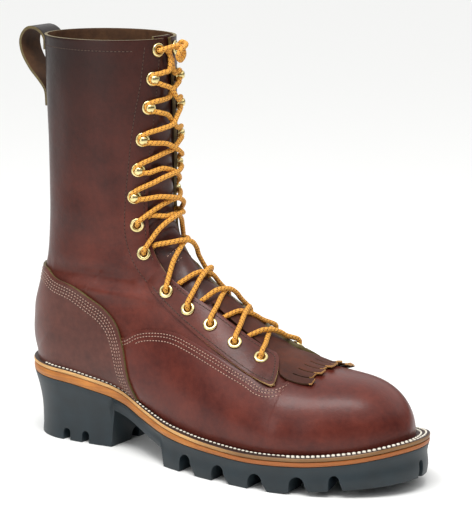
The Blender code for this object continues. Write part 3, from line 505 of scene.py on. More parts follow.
# Upper: quarters and shaft of dark brown leather, drawn over the last and closed at the back seam. The throat
# and the collar are cut edges; soft folds lie across the ankle and down the shaft.
# It is drawn by sections: rows 0 to 8 at the toe, 9 to 18 standing on the sole, 19 to 28 rising at the heel.
WALL = 2.2
FEATHER = ((-5, 6), (60, 6), (110, 6.7), (150, 8.7), (210, 10), (270, 11), (318, 12.2))
SEAT_GAP = 0.5
TOE_START, TOE_TIP, TOE_CLOSE = 230.0, 305.6, 0.3
TOE_RIDGE = ((230, 75.8), (249, 73.5), (266, 72.3), (279.5, 69.3), (291.3, 63), (299.2, 54.8), (303.7, 46),
             (305.8, 38.5))
TOE_SECTIONS = 9
BULGE, LEAST_BULGE = 2.6, 0.05
TOE_RIDGE_Y, TOE_BELLY, TOE_FULLNESS = (6.0, 8.0), (0.20, 0.12), (0.98, 0.78)
# base x, ridge x, ridge z, ridge y, lateral half width, medial half width, belly, fullness
STANDING = (
    (230.0, 232.0, 76, 6.0, 51.0, 52.5, 0.20, 0.98),
    (205.0, 211.0, 84.5, 5.0, 49.0, 50.5, 0.20, 1.05),
    (175.0, 188.0, 98.5, 4.0, 47.3, 46.5, 0.20, 1.10),
    (140.0, 162.0, 116.5, 3.0, 43.0, 39.2, 0.20, 1.12),
    (100.0, 140.0, 134, 2.0, 36.5, 35.5, 0.20, 1.10),
    (60.0, 126.5, 148, 1.0, 36.0, 36.0, 0.22, 1.05),
    (30.0, 120.5, 159, 0.5, 36.0, 36.0, 0.24, 1.00),
    (13.0, 118.0, 166, 0.0, 36.0, 36.0, 0.27, 0.98),
    (6.0, 117.0, 170, 0.0, 36.0, 36.0, 0.29, 0.97),
    (2.6, 116.5, 173, 0.0, 36.0, 36.0, 0.31, 0.97),
)
# base x, base z, ridge x, ridge z, half width, belly
RISING = (
    (1.5, 54.7, 116.0, 176, 36.0, 0.33),
    (-2.8, 68.0, 115.2, 182, 36.0, 0.36),
    (-2.4, 87.0, 114.3, 192, 35.5, 0.40),
    (3.5, 110.0, 113.6, 205, 35.5, 0.43),
    (9.5, 138.0, 113.0, 221, 36.0, 0.45),
    (11.5, 175.0, 112.4, 241, 37.0, 0.47),
    (11.5, 212.0, 112.0, 261, 38.0, 0.48),
    (10.5, 250.0, 111.6, 279, 39.0, 0.49),
    (10.0, 278.0, 111.3, 290, 39.5, 0.50),
    (9.5, 297.0, 111.0, 298, 40.0, 0.50),
)
SHAFT_FULLNESS = 0.97
# Neighbouring rows that a section is evened out with: how far they lie, and their weights
EVEN_REACH, EVEN_WEIGHTS = 0.8, (0.1, 0.2, 0.4, 0.2, 0.1)
# Round of the heel: its middle, the squares of its half sizes, its row and reach in rows, and the shares
# of a section, from the ridge down, between which it sets in
HEEL_MIDDLE, HEEL_ROUND = (45, 0, 85), (2500, 1444, 14400)
HEEL_TURN, HEEL_REACH, HEEL_LOW = 18.8, 1.1, (0.55, 0.8)
# Half of the throat's opening by row, and its largest share of a section
THROAT_ROW, THROAT_SHARE = 9.5, 0.35
THROAT = ((0, 12), (9, 13), (10, 14), (11, 17), (12, 19), (13, 23), (14, 25), (16, 24.5), (20, 23),
          (22, 20), (23, 16), (24, 12), (25, 9), (26, 6.5), (28, 4))
LOW_POINTS, HIGH_POINTS, OUTLINE_POINTS = 60, 90, 400
SIDE_COLUMNS, INNER_COLUMNS = 54, 7
# Folds in the side view: three points x, z, then half width and height
FOLDS = (
    (26, 129, 66, 126, 106, 125, 6.0, -4.2),
    (50, 119, 88, 115, 124, 116, 4.5, 3.2),
    (60, 150, 82, 146, 104, 152, 9, -0.9),
    (30, 176, 62, 168, 96, 172, 10, 0.8),
    (92, 178, 86, 208, 92, 240, 7, -0.8),
    (78, 190, 74, 220, 78, 262, 8, 0.7),
    (34, 196, 40, 228, 36, 268, 9, -0.7),
)
feather_x = along_sole(np.linspace(0, math.pi, OUTLINE_POINTS))
feather_line = {side: edge(side, feather_x, through(FEATHER, feather_x)) for side in SIDES}


def feather(side, x):
    """Distance of the upper's base from the middle line at x."""
    line = feather_line[side]
    return float(np.interp(x, line[:, 0], side * line[:, 1]))


def base_height(x):
    """Height of the upper's base above the floor at x."""
    return float(seat(x)) + SEAT_GAP


def sections():
    """Rows of base x and z, ridge x and z, middle y, ridge y, four half widths, belly and fullness."""
    rows = []
    for k in range(TOE_SECTIONS):
        turn = math.pi / 2 * (1 - k / TOE_SECTIONS)
        x = TOE_START + (TOE_TIP - TOE_START) * math.sin(turn)
        share = (x - TOE_START) / (TOE_TIP - TOE_START)
        middle = TIP_Y * share * share * (3 - 2 * share)
        ridge_y, belly, full = [a + (b - a) * share for a, b in (TOE_RIDGE_Y, TOE_BELLY, TOE_FULLNESS)]
        base = [feather(LATERAL, x) + middle, feather(MEDIAL, x) - middle]
        wide = [b + BULGE * math.cos(turn) ** 0.5 + 2 * LEAST_BULGE for b in base]
        top = float(through(TOE_RIDGE, x))
        rows.append([x, base_height(x), x, top, middle, ridge_y, *base, *wide, belly, full])
    for x, ridge_x, ridge_z, ridge_y, lateral, medial, belly, full in STANDING:
        base = [feather(side, x) for side in SIDES]
        rows.append([x, base_height(x), ridge_x, ridge_z, 0, ridge_y, *base, lateral, medial, belly, full])
    for x, z, ridge_x, ridge_z, half, belly in RISING:
        rows.append([x, z, ridge_x, ridge_z, 0, 0, 0, 0, half, half, belly, SHAFT_FULLNESS])
    return np.array(rows, float)


SECTIONS = sections()
HEEL_ROW = TOE_SECTIONS + len(STANDING)
COLLAR_ROW = len(SECTIONS) - 1


def section(row):
    """The values of the section at a row that may lie between two of the table's."""
    first, last = (0, HEEL_ROW) if row < HEEL_ROW else (HEEL_ROW, COLLAR_ROW)
    number = np.arange(first, last + 1)
    reach = EVEN_REACH * min(row, 1) if row < HEEL_ROW - 2 else 0.0
    near = row + reach * np.linspace(-1, 1, len(EVEN_WEIGHTS))
    values = [float(through(np.stack([number, column[first:last + 1]], 1), near) @ EVEN_WEIGHTS)
              for column in SECTIONS.T]
    if row < HEEL_ROW - 1:
        x, middle = values[0], values[4]
        values[1] = base_height(x)
        values[6:8] = feather(LATERAL, x) + middle, feather(MEDIAL, x) - middle
    return values


@functools.cache
def half_section(side, row):
    """One side of a section as a fine line from base to ridge, and the length along it."""
    base_x, base_z, ridge_x, ridge_z, middle, ridge_y, *widths, belly, full = section(row)
    base, wide = widths[::2] if side == LATERAL else widths[1::2]
    wide = max(wide, base + LEAST_BULGE)
    low = -math.acos((base / wide) ** (1 / full)) if base > 0 else -math.pi / 2
    angle = np.concatenate([np.linspace(low, 0, LOW_POINTS), np.linspace(0, math.pi / 2, HIGH_POINTS)[1:]])
    half = wide * np.clip(np.cos(angle), 0, 1) ** full
    drop = np.sin(np.minimum(angle, 0)) / math.sin(low)
    up = np.where(angle < 0, belly * (1 - drop), belly + (1 - belly) * np.sin(np.maximum(angle, 0)))
    y = middle + side * half + (ridge_y - middle) * (1 - half / wide)
    line = np.stack([base_x + (ridge_x - base_x) * up, y, base_z + (ridge_z - base_z) * up], 1)
    return line, lengths(line)


def girth(side, row):
    """Length of one side of a section."""
    return half_section(side, row)[1][-1]


def on_section(row, arcs):
    """Points of a section at lengths from its ridge, less than 0 on the lateral side."""
    points = np.zeros((len(arcs), 3))
    for side in SIDES:
        line, length = half_section(side, row)
        mine = arcs * side >= 0
        points[mine] = at_lengths(line, length, length[-1] - arcs[mine] * side)
    return points


def folds(points):
    """Height of the soft folds at places on the upper, in millimetres."""
    height = np.zeros(len(points))
    t = np.linspace(0, 1, 24)[:, None]
    for x0, z0, x1, z1, x2, z2, wide, high in FOLDS:
        line = (1 - t) ** 2 * (x0, z0) + 2 * t * (1 - t) * (x1, z1) + t * t * (x2, z2)
        apart = np.linalg.norm(points[:, None, ::2] - line, axis=2)
        nearest = apart.argmin(1)
        fade = np.sin(np.pi * np.clip(t[nearest, 0], 0.04, 0.96)) ** 0.6
        height += high * fade * np.exp(-(apart.min(1) / wide) ** 2)
    return height


def skin(row, arcs, lift=0.0):
    """Points that stand off the upper's outer face by a lift along its normal."""
    arcs = np.asarray(arcs, float)
    span, step = 0.8, 0.08
    across = on_section(row, arcs + span) - on_section(row, arcs - span)
    before = row if HEEL_ROW <= row < HEEL_ROW + step else max(row - step, 0)
    ahead = on_section(min(row + step, COLLAR_ROW), arcs) - on_section(before, arcs)
    normal = unit(np.cross(across, ahead))
    points = on_section(row, arcs)
    low = np.interp(np.abs(arcs) / girth(LATERAL, row), HEEL_LOW, (0, 1))
    heel = low * math.exp(-((row - HEEL_TURN) / HEEL_REACH) ** 2)
    normal += (unit((points - HEEL_MIDDLE) / HEEL_ROUND) - normal) * heel[:, None]
    back_seam = np.abs(arcs) > girth(LATERAL, row) - 0.01
    normal[back_seam & (row >= HEEL_ROW), 1] = 0
    return points + unit(normal) * (folds(points) + lift)[:, None]


def half_gap(row):
    """Half of the throat's opening, kept inside the section."""
    return min(float(through(THROAT, row)), *[THROAT_SHARE * girth(side, row) for side in SIDES])


def rows_of(*spans):
    """Rows at even steps within spans of first row, last row and count."""
    return np.unique(np.concatenate([np.linspace(*span) for span in spans]).round(4))


def laid(name, points):
    """A grid whose vertices are laid on points in the boot's own millimetres."""
    points = np.asarray(points)
    rows, across = points.shape[:2]
    bpy.ops.object.select_all(action="DESELECT")
    bpy.ops.mesh.primitive_grid_add(x_subdivisions=across - 1, y_subdivisions=rows - 1, size=1)
    made = bpy.context.object
    made.name = made.data.name = name
    made.data.vertices.foreach_set("co", in_frame(points).ravel())
    made.data.update()
    return made


def drop_faces(piece, gone):
    """Deletes the faces of a grid that are named by their numbers, and merges points that lie together."""
    choose(piece)
    bpy.context.tool_settings.mesh_select_mode = (False, False, True)
    piece.data.polygons.foreach_set("select", np.isin(np.arange(len(piece.data.polygons)), gone))
    bpy.ops.object.mode_set(mode="EDIT")
    bpy.ops.mesh.delete(type="FACE")
    bpy.ops.mesh.select_all(action="SELECT")
    bpy.ops.mesh.remove_doubles(threshold=0.02 * MM)
    bpy.ops.object.mode_set(mode="OBJECT")


def as_leather(piece, thick, looks):
    """Gives a laid sheet its thickness, a cut edge and soft corners; looks are face, edge and lining."""
    for look in looks:
        piece.data.materials.append(look)
    modify(piece, "SOLIDIFY", thickness=thick * MM, offset=-1, material_offset=2, material_offset_rim=1)
    modify(piece, "BEVEL", width=min(0.3, thick / 4) * MM, segments=2, limit_method="ANGLE",
           angle_limit=math.radians(50))
    smooth(piece, 40)


def leather(name, dark, light, roughness, coat, grain=1.0, painted_shade=None):
    """Finished leather: two mottled tones, pores, soft waves, a wax coat; painted shade upwards and at the
    back if given.

    Its pores are drawn coarser than real ones, which are too fine to show.
    """
    made, tree, sockets = material(name, light, roughness, Coat_Weight=coat, Coat_Roughness=0.25,
                                   Specular_IOR_Level=0.24)
    coords = node(tree, "TexCoord", {}).outputs["Object"]
    patch = node(tree, "TexNoise", {"Vector": coords, "Scale": 1 / (30 * MM), "Detail": 4, "Roughness": 0.6})
    speck = node(tree, "TexNoise", {"Vector": coords, "Scale": 1 / (3.5 * MM), "Detail": 3})
    both = node(tree, "Math", {0: speck, 1: 0.35, 2: patch}, operation="MULTIPLY_ADD")
    spread = node(tree, "MapRange", {"Value": both, "From Min": 0.48, "From Max": 0.88})
    tone = node(tree, "MixRGB", {"Fac": spread, "Color1": linear(dark), "Color2": linear(light)})
    # Painted shade: the tone is mixed towards a dark one upwards and towards the back
    if painted_shade:
        place = node(tree, "SeparateXYZ", {"Vector": coords}).outputs
        high = node(tree, "MapRange", {"Value": place["Z"], "From Min": 120 * MM, "From Max": 280 * MM,
                                       "To Max": 0.72})
        rear = node(tree, "MapRange", {"Value": place["X"], "From Min": -60 * MM, "From Max": -135 * MM,
                                       "To Max": 0.28})
        share = node(tree, "Math", {0: high, 1: rear}, operation="ADD")
        tone = node(tree, "MixRGB", {"Fac": share, "Color1": tone, "Color2": linear(painted_shade)})
    tree.links.new(tone.outputs["Color"], sockets["Base Color"])
    node(tree, "MapRange", {"Value": speck, "To Min": roughness - 0.08, "To Max": roughness + 0.08},
         sockets["Roughness"])
    pores = node(tree, "TexVoronoi", {"Vector": coords, "Scale": 1 / (1.1 * MM)})
    fine = node(tree, "Bump", {"Height": pores, "Strength": 0.16 * grain, "Distance": 0.3 * MM})
    waves = node(tree, "TexNoise", {"Vector": coords, "Scale": 1 / (7 * MM), "Detail": 3})
    node(tree, "Bump", {"Height": waves, "Strength": 0.22 * grain, "Distance": 0.9 * MM, "Normal": fine},
         sockets["Normal"])
    return made


def upper_arcs(row):
    """Lengths from the ridge of the upper's columns, from the lateral base to the medial base."""
    gap = half_gap(row)
    inner = np.linspace(-gap, gap, 2 * INNER_COLUMNS + 1)[1:-1]
    lateral = np.linspace(-girth(LATERAL, row), -gap, SIDE_COLUMNS)
    return np.concatenate([lateral, inner, np.linspace(gap, girth(MEDIAL, row), SIDE_COLUMNS)])


def closed_toe(points):
    """A grid of the upper with one more row that draws its front end together on the middle line."""
    tip = points[:1].copy()
    tip[..., 0] += TOE_CLOSE
    tip[..., 1] = TIP_Y
    return np.concatenate([tip, points])


# Oiled leather: plum brown with a low sheen; painted shade makes it nearly black at the collar and the back
brown = leather("plum_brown_leather", "471B13", "652B1F", 0.40, 0.10, painted_shade="150A07")
# Its raw cut edge, dyed a dull olive
olive_edge = cut_leather("olive_raw_edge", "40341A", "70623A", 0.8)
# Rough split leather inside, without any sheen
lining = leather("dark_lining", "3C2617", "5C3E26", 0.7, 0.0)
upper_rows = rows_of((0, THROAT_ROW, 40), (THROAT_ROW, HEEL_ROW, 60), (HEEL_ROW, COLLAR_ROW, 70))
upper = laid("upper_leather", closed_toe(np.array([skin(row, upper_arcs(row)) for row in upper_rows])))
across = 2 * SIDE_COLUMNS + 2 * INNER_COLUMNS - 2
first = int(np.searchsorted(upper_rows, THROAT_ROW)) + 1
drop_faces(upper, [i * across + j for i in range(first, len(upper_rows))
                   for j in range(SIDE_COLUMNS - 1, SIDE_COLUMNS - 1 + 2 * INNER_COLUMNS)])
as_leather(upper, WALL, (brown, olive_edge, lining))
fitted(upper, "brown_leather", "upper")

# Vamp: the front of the boot, of red-brown leather, from under the counter to the toe. Its top edge is cut
# raw and sewn to the quarters with three rows of pale thread.
VAMP_THICK, VAMP_COLUMNS = 1.5, 46
# Where it runs in under the counter it lies lower by this, over this length
VAMP_TUCK, VAMP_TUCK_REACH = 1.5, 5
# Top edges in the side view: x, z
VAMP_EDGE = ((60, 82), (97.5, 85.5), (106, 91.2), (118, 94.2), (131.5, 95), (141, 94), (151, 91.3), (172, 84),
             (190, 77), (205, 71.5), (219, 66.5), (225, 67), (229, 70.5), (231.5, 80), (233, 100), (340, 110))
COUNTER_EDGE = ((-20, 128), (22, 127), (37, 121.5), (51, 118.5), (65, 111), (78, 104.5), (90, 94),
                (97, 80), (103, 57), (111, 38))
VAMP_SEAM_ROWS = (2.6, 4.8, 7.8)
# Stitches of the upper's pale seams: length, thickness, pitch
FINE_STITCH = (1.8, 0.7, 2.5)


def arc_below(side, row, table):
    """Length from the ridge of the place where a section crosses an edge that is drawn in the side view."""
    line, length = half_section(side, row)
    at = np.linspace(0, length[-1], 1500)
    x, _, z = at_lengths(line, length, at).T
    over = z > through(table, x)
    return length[-1] - at[int(np.argmax(over))] if over.any() else 0.0


def before_counter(points):
    """Distance in front of the counter's edge, in the side view."""
    x, z = np.array(COUNTER_EDGE)[::-1].T
    return points[:, 0] - np.interp(points[:, 2], z, x)


def columns(side, base, top, count):
    """Lengths from the ridge between two places on one side, ordered from lateral to medial."""
    arcs = side * np.linspace(base, top, count)
    return arcs if side == LATERAL else arcs[::-1]


def top_edge(side, grid, kept):
    """The top line of one side's grid at the rows that are kept, and the way down the grid from it."""
    line, below = (grid[:, -1], grid[:, -6]) if side == LATERAL else (grid[:, 0], grid[:, 5])
    return line[kept], (below - line)[kept]


def joined(halves):
    """Two halves as one piece, merged where they meet."""
    choose(halves[0])
    halves[1].select_set(True)
    bpy.ops.object.join()
    drop_faces(halves[0], [])
    return halves[0]


vamp_rows = rows_of((0, 8.6, 44), (8.6, 9.4, 24), (9.4, 13.75, 34))
vamp_halves, vamp_edges = [], []
for side in SIDES:
    tops = np.array([arc_below(side, row, VAMP_EDGE) for row in vamp_rows])
    grid = []
    for row, top in zip(vamp_rows, tops):
        arcs = columns(side, girth(side, row) - GAP, top, VAMP_COLUMNS)
        under = np.clip(-before_counter(on_section(row, arcs)) / VAMP_TUCK_REACH, 0, 1)
        grid.append(skin(row, arcs, GAP + VAMP_THICK - VAMP_TUCK * under))
    grid = np.array(grid)
    vamp_halves.append(laid("vamp_leather", closed_toe(grid)))
    vamp_edges.append(top_edge(side, grid, tops > 0.5))
vamp = joined(vamp_halves)
# Smooth waxed leather: red-brown, the shiniest of the leathers, with a raw tan edge
red_brown = leather("red_brown_leather", "451913", "61281D", 0.37, 0.15, 0.8)
tan_edge = cut_leather("tan_raw_edge", "7A4A28", "B98A58", 0.8)
as_leather(vamp, VAMP_THICK, (red_brown, tan_edge, lining))
fitted(vamp, "red_brown_leather", "vamp")


def surface(piece):
    """The faces of a finished piece, for finding the nearest place on them."""
    mesh = piece.data
    return BVHTree.FromPolygons([v.co for v in mesh.vertices], [p.vertices for p in mesh.polygons])


def drawn(line, times):
    """A line with its inner points drawn towards their neighbours a number of times."""
    for _ in range(times):
        line[1:-1] = (line[:-2] + 2 * line[1:-1] + line[2:]) / 4
    return line


def beside(line, inward, faces, offset):
    """A line moved inwards over a surface by some millimetres, evenly spaced, with the surface's normals."""
    line = np.asarray(line, float)
    inward = np.zeros(line.shape) + inward
    length = lengths(line)
    marks = np.linspace(0, length[-1], max(int(length[-1] / 1.2), 8))
    line, inward = drawn(at_lengths(line, length, marks), 6), at_lengths(inward, length, marks)
    along = unit(np.gradient(line, axis=0))
    inward = unit(drawn(inward - along * np.sum(inward * along, 1, keepdims=True), 4))
    moved = drawn(line + inward * offset, 4)
    found = [faces.find_nearest(Vector(here)) for here in in_frame(moved)]
    places, normals = [np.array([spot[k] for spot in found]) for k in (0, 1)]
    return drawn(places / MM + MIDDLE, 2), drawn(normals, 4)


# Waxed thread: pale pink, dulled by the dressing of the leather
pink_thread = mottled("pale_pink_thread", "86604F", "C4A08E", THREAD_ROUGH)
vamp_skin = surface(vamp)
runs = [beside(*line, vamp_skin, offset) for line in vamp_edges for offset in VAMP_SEAM_ROWS]
sewn("vamp_seam", runs, pink_thread, *FINE_STITCH)

# Counter: a stiff piece of brown leather moulded round the heel. It laps over the end of the vamp, and its
# top edge is sewn down with four rows of thread.
COUNTER_THICK, COUNTER_COLUMNS = 1.9, 44
# Over the vamp it is raised by this within this reach of its edge, below this height, with this fade
COUNTER_LAP, LAP_REACH, LAP_TOP, LAP_FADE = 1.1, 9, 96, 14
# Evening out at the turn of the heel: passes, step, reach in rows, columns that are held at the base
EASE_PASSES, EASE_STEP, EASE_REACH, EASE_HELD = 60, 0.25, 1.0, 5
COUNTER_SEAM_ROWS = (3.2, 5.4, 7.7, 10.0)
counter_rows = rows_of((12.76, 14.5, 24), (14.5, HEEL_ROW, 40), (HEEL_ROW, 23.62, 40))
at_turn = np.exp(-((counter_rows - HEEL_TURN) / EASE_REACH) ** 2)[1:-1, None, None]
counter_halves, counter_edges = [], []
for side in SIDES:
    grid, kept = [], []
    for row in counter_rows:
        base = girth(side, row)
        top = min(arc_below(side, row, COUNTER_EDGE), base - 0.4)
        kept.append(top < base - 1)
        arcs = columns(side, base, top, COUNTER_COLUMNS)
        plain = on_section(row, arcs)
        lap = np.exp(-(np.clip(-before_counter(plain), 0, None) / LAP_REACH) ** 2)
        lap *= np.clip((LAP_TOP - plain[:, 2]) / LAP_FADE, 0, 1)
        grid.append(skin(row, arcs, GAP + COUNTER_THICK + COUNTER_LAP * lap))
    grid = np.array(grid)
    free = np.clip(np.arange(COUNTER_COLUMNS) / EASE_HELD, 0, 1)[::-side]
    for _ in range(EASE_PASSES):
        ease = grid[:-2] + grid[2:] - 2 * grid[1:-1]
        grid[1:-1] += ease * EASE_STEP * at_turn * free[None, :, None]
    counter_halves.append(laid("counter_leather", grid))
    counter_edges.append(top_edge(side, grid, kept))
counter = joined(counter_halves)
# Thick leather: a greyer brown than the rest, with a low sheen
counter_brown = leather("brown_counter_leather", "48261F", "62372E", 0.40, 0.12)
as_leather(counter, COUNTER_THICK, (counter_brown, olive_edge, lining))
fitted(counter, "brown_leather", "counter")
# Waxed thread: pale tan, dull
tan_thread = mottled("pale_tan_thread", "846656", "BC9C8C", THREAD_ROUGH)
counter_skin = surface(counter)
runs = [beside(*line, counter_skin, offset) for line in counter_edges for offset in COUNTER_SEAM_ROWS]
sewn("counter_seam", runs, tan_thread, *FINE_STITCH)

# Tongue: soft dark leather behind the throat, with slack folds where the ankle bends. It is sewn from two
# lengths, which lap at the ankle under two rows of thread.
TONGUE_ROWS, TONGUE_THICK, TONGUE_RISE = (8.2, 28), 2.0, 1.5
TONGUE_LAP, TONGUE_DROP = 7, WALL + 1.3
# How slack it is, by row
TONGUE_SLACK = ((9, 12, 17, 24), (0.2, 1, 1, 0.3))
LAP_ROWS, LAP_HALF = (13.85, 14.3), 18
grid = []
for row in np.linspace(*TONGUE_ROWS, 110):
    wide = half_gap(row) + TONGUE_LAP
    arcs = np.linspace(-wide, wide, 40)
    slack = 0.5 * np.sin(row * 5.1 + arcs * 0.11) + 0.4 * np.sin(row * 2.3 - arcs * 0.2)
    slack *= np.interp(row, *TONGUE_SLACK) * np.exp(-(arcs / wide * 1.4) ** 4)
    grid.append(skin(row, arcs, slack - TONGUE_DROP))
grid.append(grid[-1] + (0, 0, TONGUE_RISE))
tongue = laid("tongue_leather", grid)
# Soft leather: dark brown, with a wax shine on its folds
tongue_brown = leather("dark_tongue_leather", "2A0F0A", "4E251C", 0.40, 0.2)
as_leather(tongue, TONGUE_THICK, (tongue_brown, olive_edge, lining))
fitted(tongue, "brown_leather", "tongue")
tongue_skin = surface(tongue)
lap_arcs = np.linspace(-LAP_HALF, LAP_HALF, 31)
runs = [beside(skin(row, lap_arcs, -TONGUE_DROP), (0, 0, 1), tongue_skin, 0) for row in LAP_ROWS]
sewn("tongue_seam", runs, tan_thread, *FINE_STITCH)

# Kiltie: a matte leather apron on the vamp, held under the lowest laces. Its front is slit into strips, whose
# raw tips curl up a little and show tan.
# Row in the middle, row at the sides, half width, lift of its outer face
KILTIE = ((7.85, 7.75, 28.5, 4.3), (8.25, 8.22, 30, 3.8), (8.65, 8.65, 31, 3.6), (9.05, 9.05, 31.5, 3.4),
          (9.44, 9.44, 30, 2.9), (9.75, 9.75, 23, 1.6), (10.25, 10.25, 13, -0.4), (12.2, 12.2, 14.5, -0.9))
# Width of a slit as a share of a strip, and the step along the kiltie where the slits end
KILTIE_THICK, STRIPS, STRIP_COLUMNS, SLIT, SLIT_END = 1.5, 9, 5, 0.12, 3.04
# How far each strip's tip curls up and reaches out, and how far its tan edge goes back
TIP_LIFTS = (0.6, 0.1, 1.0, 0.3, 1.2, 0.6, 1.8, 1.0, 2.2)
TIP_REACHES = (-0.04, 0.2, -0.1, 0.14, -0.12, 0.1, 0.2, -0.12, 0.08)
TIP_TAN = 2.2
strip_shares = [np.linspace(k + SLIT / 2, k + 1 - SLIT / 2, STRIP_COLUMNS) for k in range(STRIPS)]
strip_shares = np.concatenate(strip_shares) * 2 / STRIPS - 1
kiltie_steps = np.concatenate([np.linspace(0, 3, 36), np.linspace(3, len(KILTIE) - 1, 40)[1:]])
grid = []
for step in kiltie_steps:
    middle, side_row, half, lift = [float(through(np.stack([np.arange(len(KILTIE)), column], 1), step))
                                    for column in np.array(KILTIE, float).T]
    free = max(1 - step / SLIT_END, 0) ** 2
    line = []
    for at, tip, reach in zip(strip_shares, np.repeat(TIP_LIFTS, STRIP_COLUMNS),
                              np.repeat(TIP_REACHES, STRIP_COLUMNS)):
        row = middle + (side_row - middle) * at * at + reach * free
        line.append(skin(row, [at * half], lift + tip * free)[0])
    grid.append(line)
kiltie = laid("kiltie_leather", grid)
across = len(strip_shares) - 1
drop_faces(kiltie, [i * across + j for i in range(int(np.searchsorted(kiltie_steps, SLIT_END)))
                    for j in range(STRIP_COLUMNS - 1, across, STRIP_COLUMNS)])
# Unwaxed leather: matte brown with an open grain, and raw tan only at the tips
matte_brown = leather("matte_brown_leather", "35160B", "522615", 0.6, 0.0, 1.3)
tip_edge = cut_leather("tan_fringe_edge", "9A6A38", "D0A060", 0.8)
as_leather(kiltie, KILTIE_THICK, (matte_brown, tip_edge, lining))
tips = in_frame(grid[0])
for face in kiltie.data.polygons:
    if face.material_index == 1 and np.linalg.norm(tips - face.center, axis=1).min() > TIP_TAN * MM:
        face.material_index = 2
fitted(kiltie, "matte_leather", "kiltie")

# Eyestays: leather facings that carry the lowest five pairs of eyelets, round in front. Each is sewn down
# along its edges with dark thread, and its rear end runs in under the shaft.
EYESTAY_THICK, EYESTAY_EDGE, EYESTAY_LOW = 1.4, 2.2, 41.0
# Rounding of the lower front corner: how far it goes up and, in rows, back
EYESTAY_CORNER, CORNER_REACH = 2.5, 0.12
# Front end: section row, length from the ridge
EYESTAY_FRONT = ((9.4, 40.5), (9.43, 38), (9.5, 33), (9.65, 25.8), (9.9, 17.3), (10.1, 13.8), (10.25, 12),
                 (15, 5))
# Lift over what lies below, by row: over the kiltie in front, under the shaft at the rear
EYESTAY_LAP = ((9.4, 9.8, 10.3, 13.8, 14.3), (2.2, 1.6, 0, 0, -2.4))
EYESTAY_SEAM, EYESTAY_SEAM_END = 2.6, 13.9
SIDE_WORDS = {LATERAL: "lateral", MEDIAL: "medial"}
eyestay_rows = np.concatenate([np.linspace(9.41, 10.3, 26), np.linspace(10.3, 14.3, 66)[1:]])
# Waxed thread: dark brown, hardly lighter than the leather
dark_thread = mottled("dark_brown_thread", "2A1810", "5A4030", THREAD_ROUGH)
# Soft leather: brown with a low sheen; its raw edge is painted pale as a highlight on the lateral side, olive
# on the medial
eyestay_brown = leather("soft_brown_leather", "421A12", "5E291D", 0.38, 0.12)
eyestay_edges = {LATERAL: cut_leather("painted_lit_raw_edge", "8A6A40", "D2B27C", 0.8), MEDIAL: olive_edge}
for side, word in SIDE_WORDS.items():
    grid = []
    for row in eyestay_rows:
        low = EYESTAY_LOW - EYESTAY_CORNER * max(1 - (row - eyestay_rows[0]) / CORNER_REACH, 0) ** 2
        high = max(half_gap(row), float(through(EYESTAY_FRONT, row)))
        lift = GAP + EYESTAY_THICK + float(np.interp(row, *EYESTAY_LAP))
        grid.append(skin(row, columns(side, low, high, 24), lift))
    eyestay = laid("eyestay_leather_" + word, grid)
    as_leather(eyestay, EYESTAY_EDGE, (eyestay_brown, eyestay_edges[side], lining))
    fitted(eyestay, "brown_leather", "eyestay_" + word)
    kept = np.array(grid)[:int(np.searchsorted(eyestay_rows, EYESTAY_SEAM_END))]
    border = np.concatenate([kept[::-1, 0], kept[0, 1:-1], kept[:, -1]])
    inner = np.concatenate([kept[::-1, 12], kept[9, 1:-1], kept[:, 12]])
    run = beside(border, inner - border, surface(eyestay), EYESTAY_SEAM)
    sewn("eyestay_seam_" + word, [run], dark_thread, 2.0, 0.7, 2.6)

# Seams of the shaft: stitches of dark thread through the leather and what lies behind it. On both sides one
# row runs along the facing, one close to the throat's edge and one below the collar.
# Facing: section row, length from the ridge
FACING_LINE = ((14.0, 40.4), (14.3, 41), (15.2, 42.6), (19.5, 44.9), (21.15, 42.5), (22.25, 39.9),
               (23.55, 34.4), (24.7, 28.5), (25.65, 23.6), (28, 19.3))
FACING_ROWS, THROAT_SEAM_ROWS, THROAT_SEAM = (14.0, 27.4), (14.6, 27.8), 3.2
# Height of the seam below the collar, and its part of each side
COLLAR_SEAM, COLLAR_SHARES = 290.0, (0.2, 0.94)
upper_skin = surface(upper)
runs = []
for side in SIDES:
    facing = [skin(row, [side * float(through(FACING_LINE, row))])[0]
              for row in np.linspace(*FACING_ROWS, 90)]
    throat = [skin(row, [side * (half_gap(row) + THROAT_SEAM)])[0]
              for row in np.linspace(*THROAT_SEAM_ROWS, 90)]
    collar = []
    for share in np.linspace(*COLLAR_SHARES, 80):
        up = np.array([skin(row, [side * share * girth(side, row)])[0] for row in np.linspace(26.5, 28, 12)])
        collar.append(at_lengths(up, up[:, 2], [COLLAR_SEAM])[0])
    for line, inward in ((facing, (1, 0, 0)), (throat, (1, 0, 0)), (collar, (0, 0, 1))):
        runs.append(beside(line, inward, upper_skin, 0))
sewn("shaft_seam", runs, dark_thread, 1.9, 0.6, 2.8)

# Backstay: a narrow strip of the shaft's leather that covers the back seam, from under the counter to the
# collar.
BACKSTAY_THICK, BACKSTAY_HALF = 1.4, 6.0
backstay_halves = []
for side in SIDES:
    grid = []
    for row in np.linspace(22.75, 27.9, 70):
        arcs = columns(side, girth(side, row), girth(side, row) - BACKSTAY_HALF, 8)
        grid.append(skin(row, arcs, GAP + BACKSTAY_THICK))
    backstay_halves.append(laid("backstay_leather", grid))
backstay = joined(backstay_halves)
as_leather(backstay, BACKSTAY_THICK, (brown, olive_edge, lining))
fitted(backstay, "brown_leather", "backstay")

# Pull loop: a strap of the shaft's leather, sewn to the back, turned over above the collar and fixed again
# just below it.
# Its middle line in the side view: x, z
LOOP_PATH = ((9.2, 243), (8.2, 254), (3, 261), (-6, 270), (-13, 281), (-14, 291), (-8, 298.5), (1, 298.5),
             (7.6, 293), (8.3, 284))
LOOP_WIDE, LOOP_THICK = 22.0, 2.2


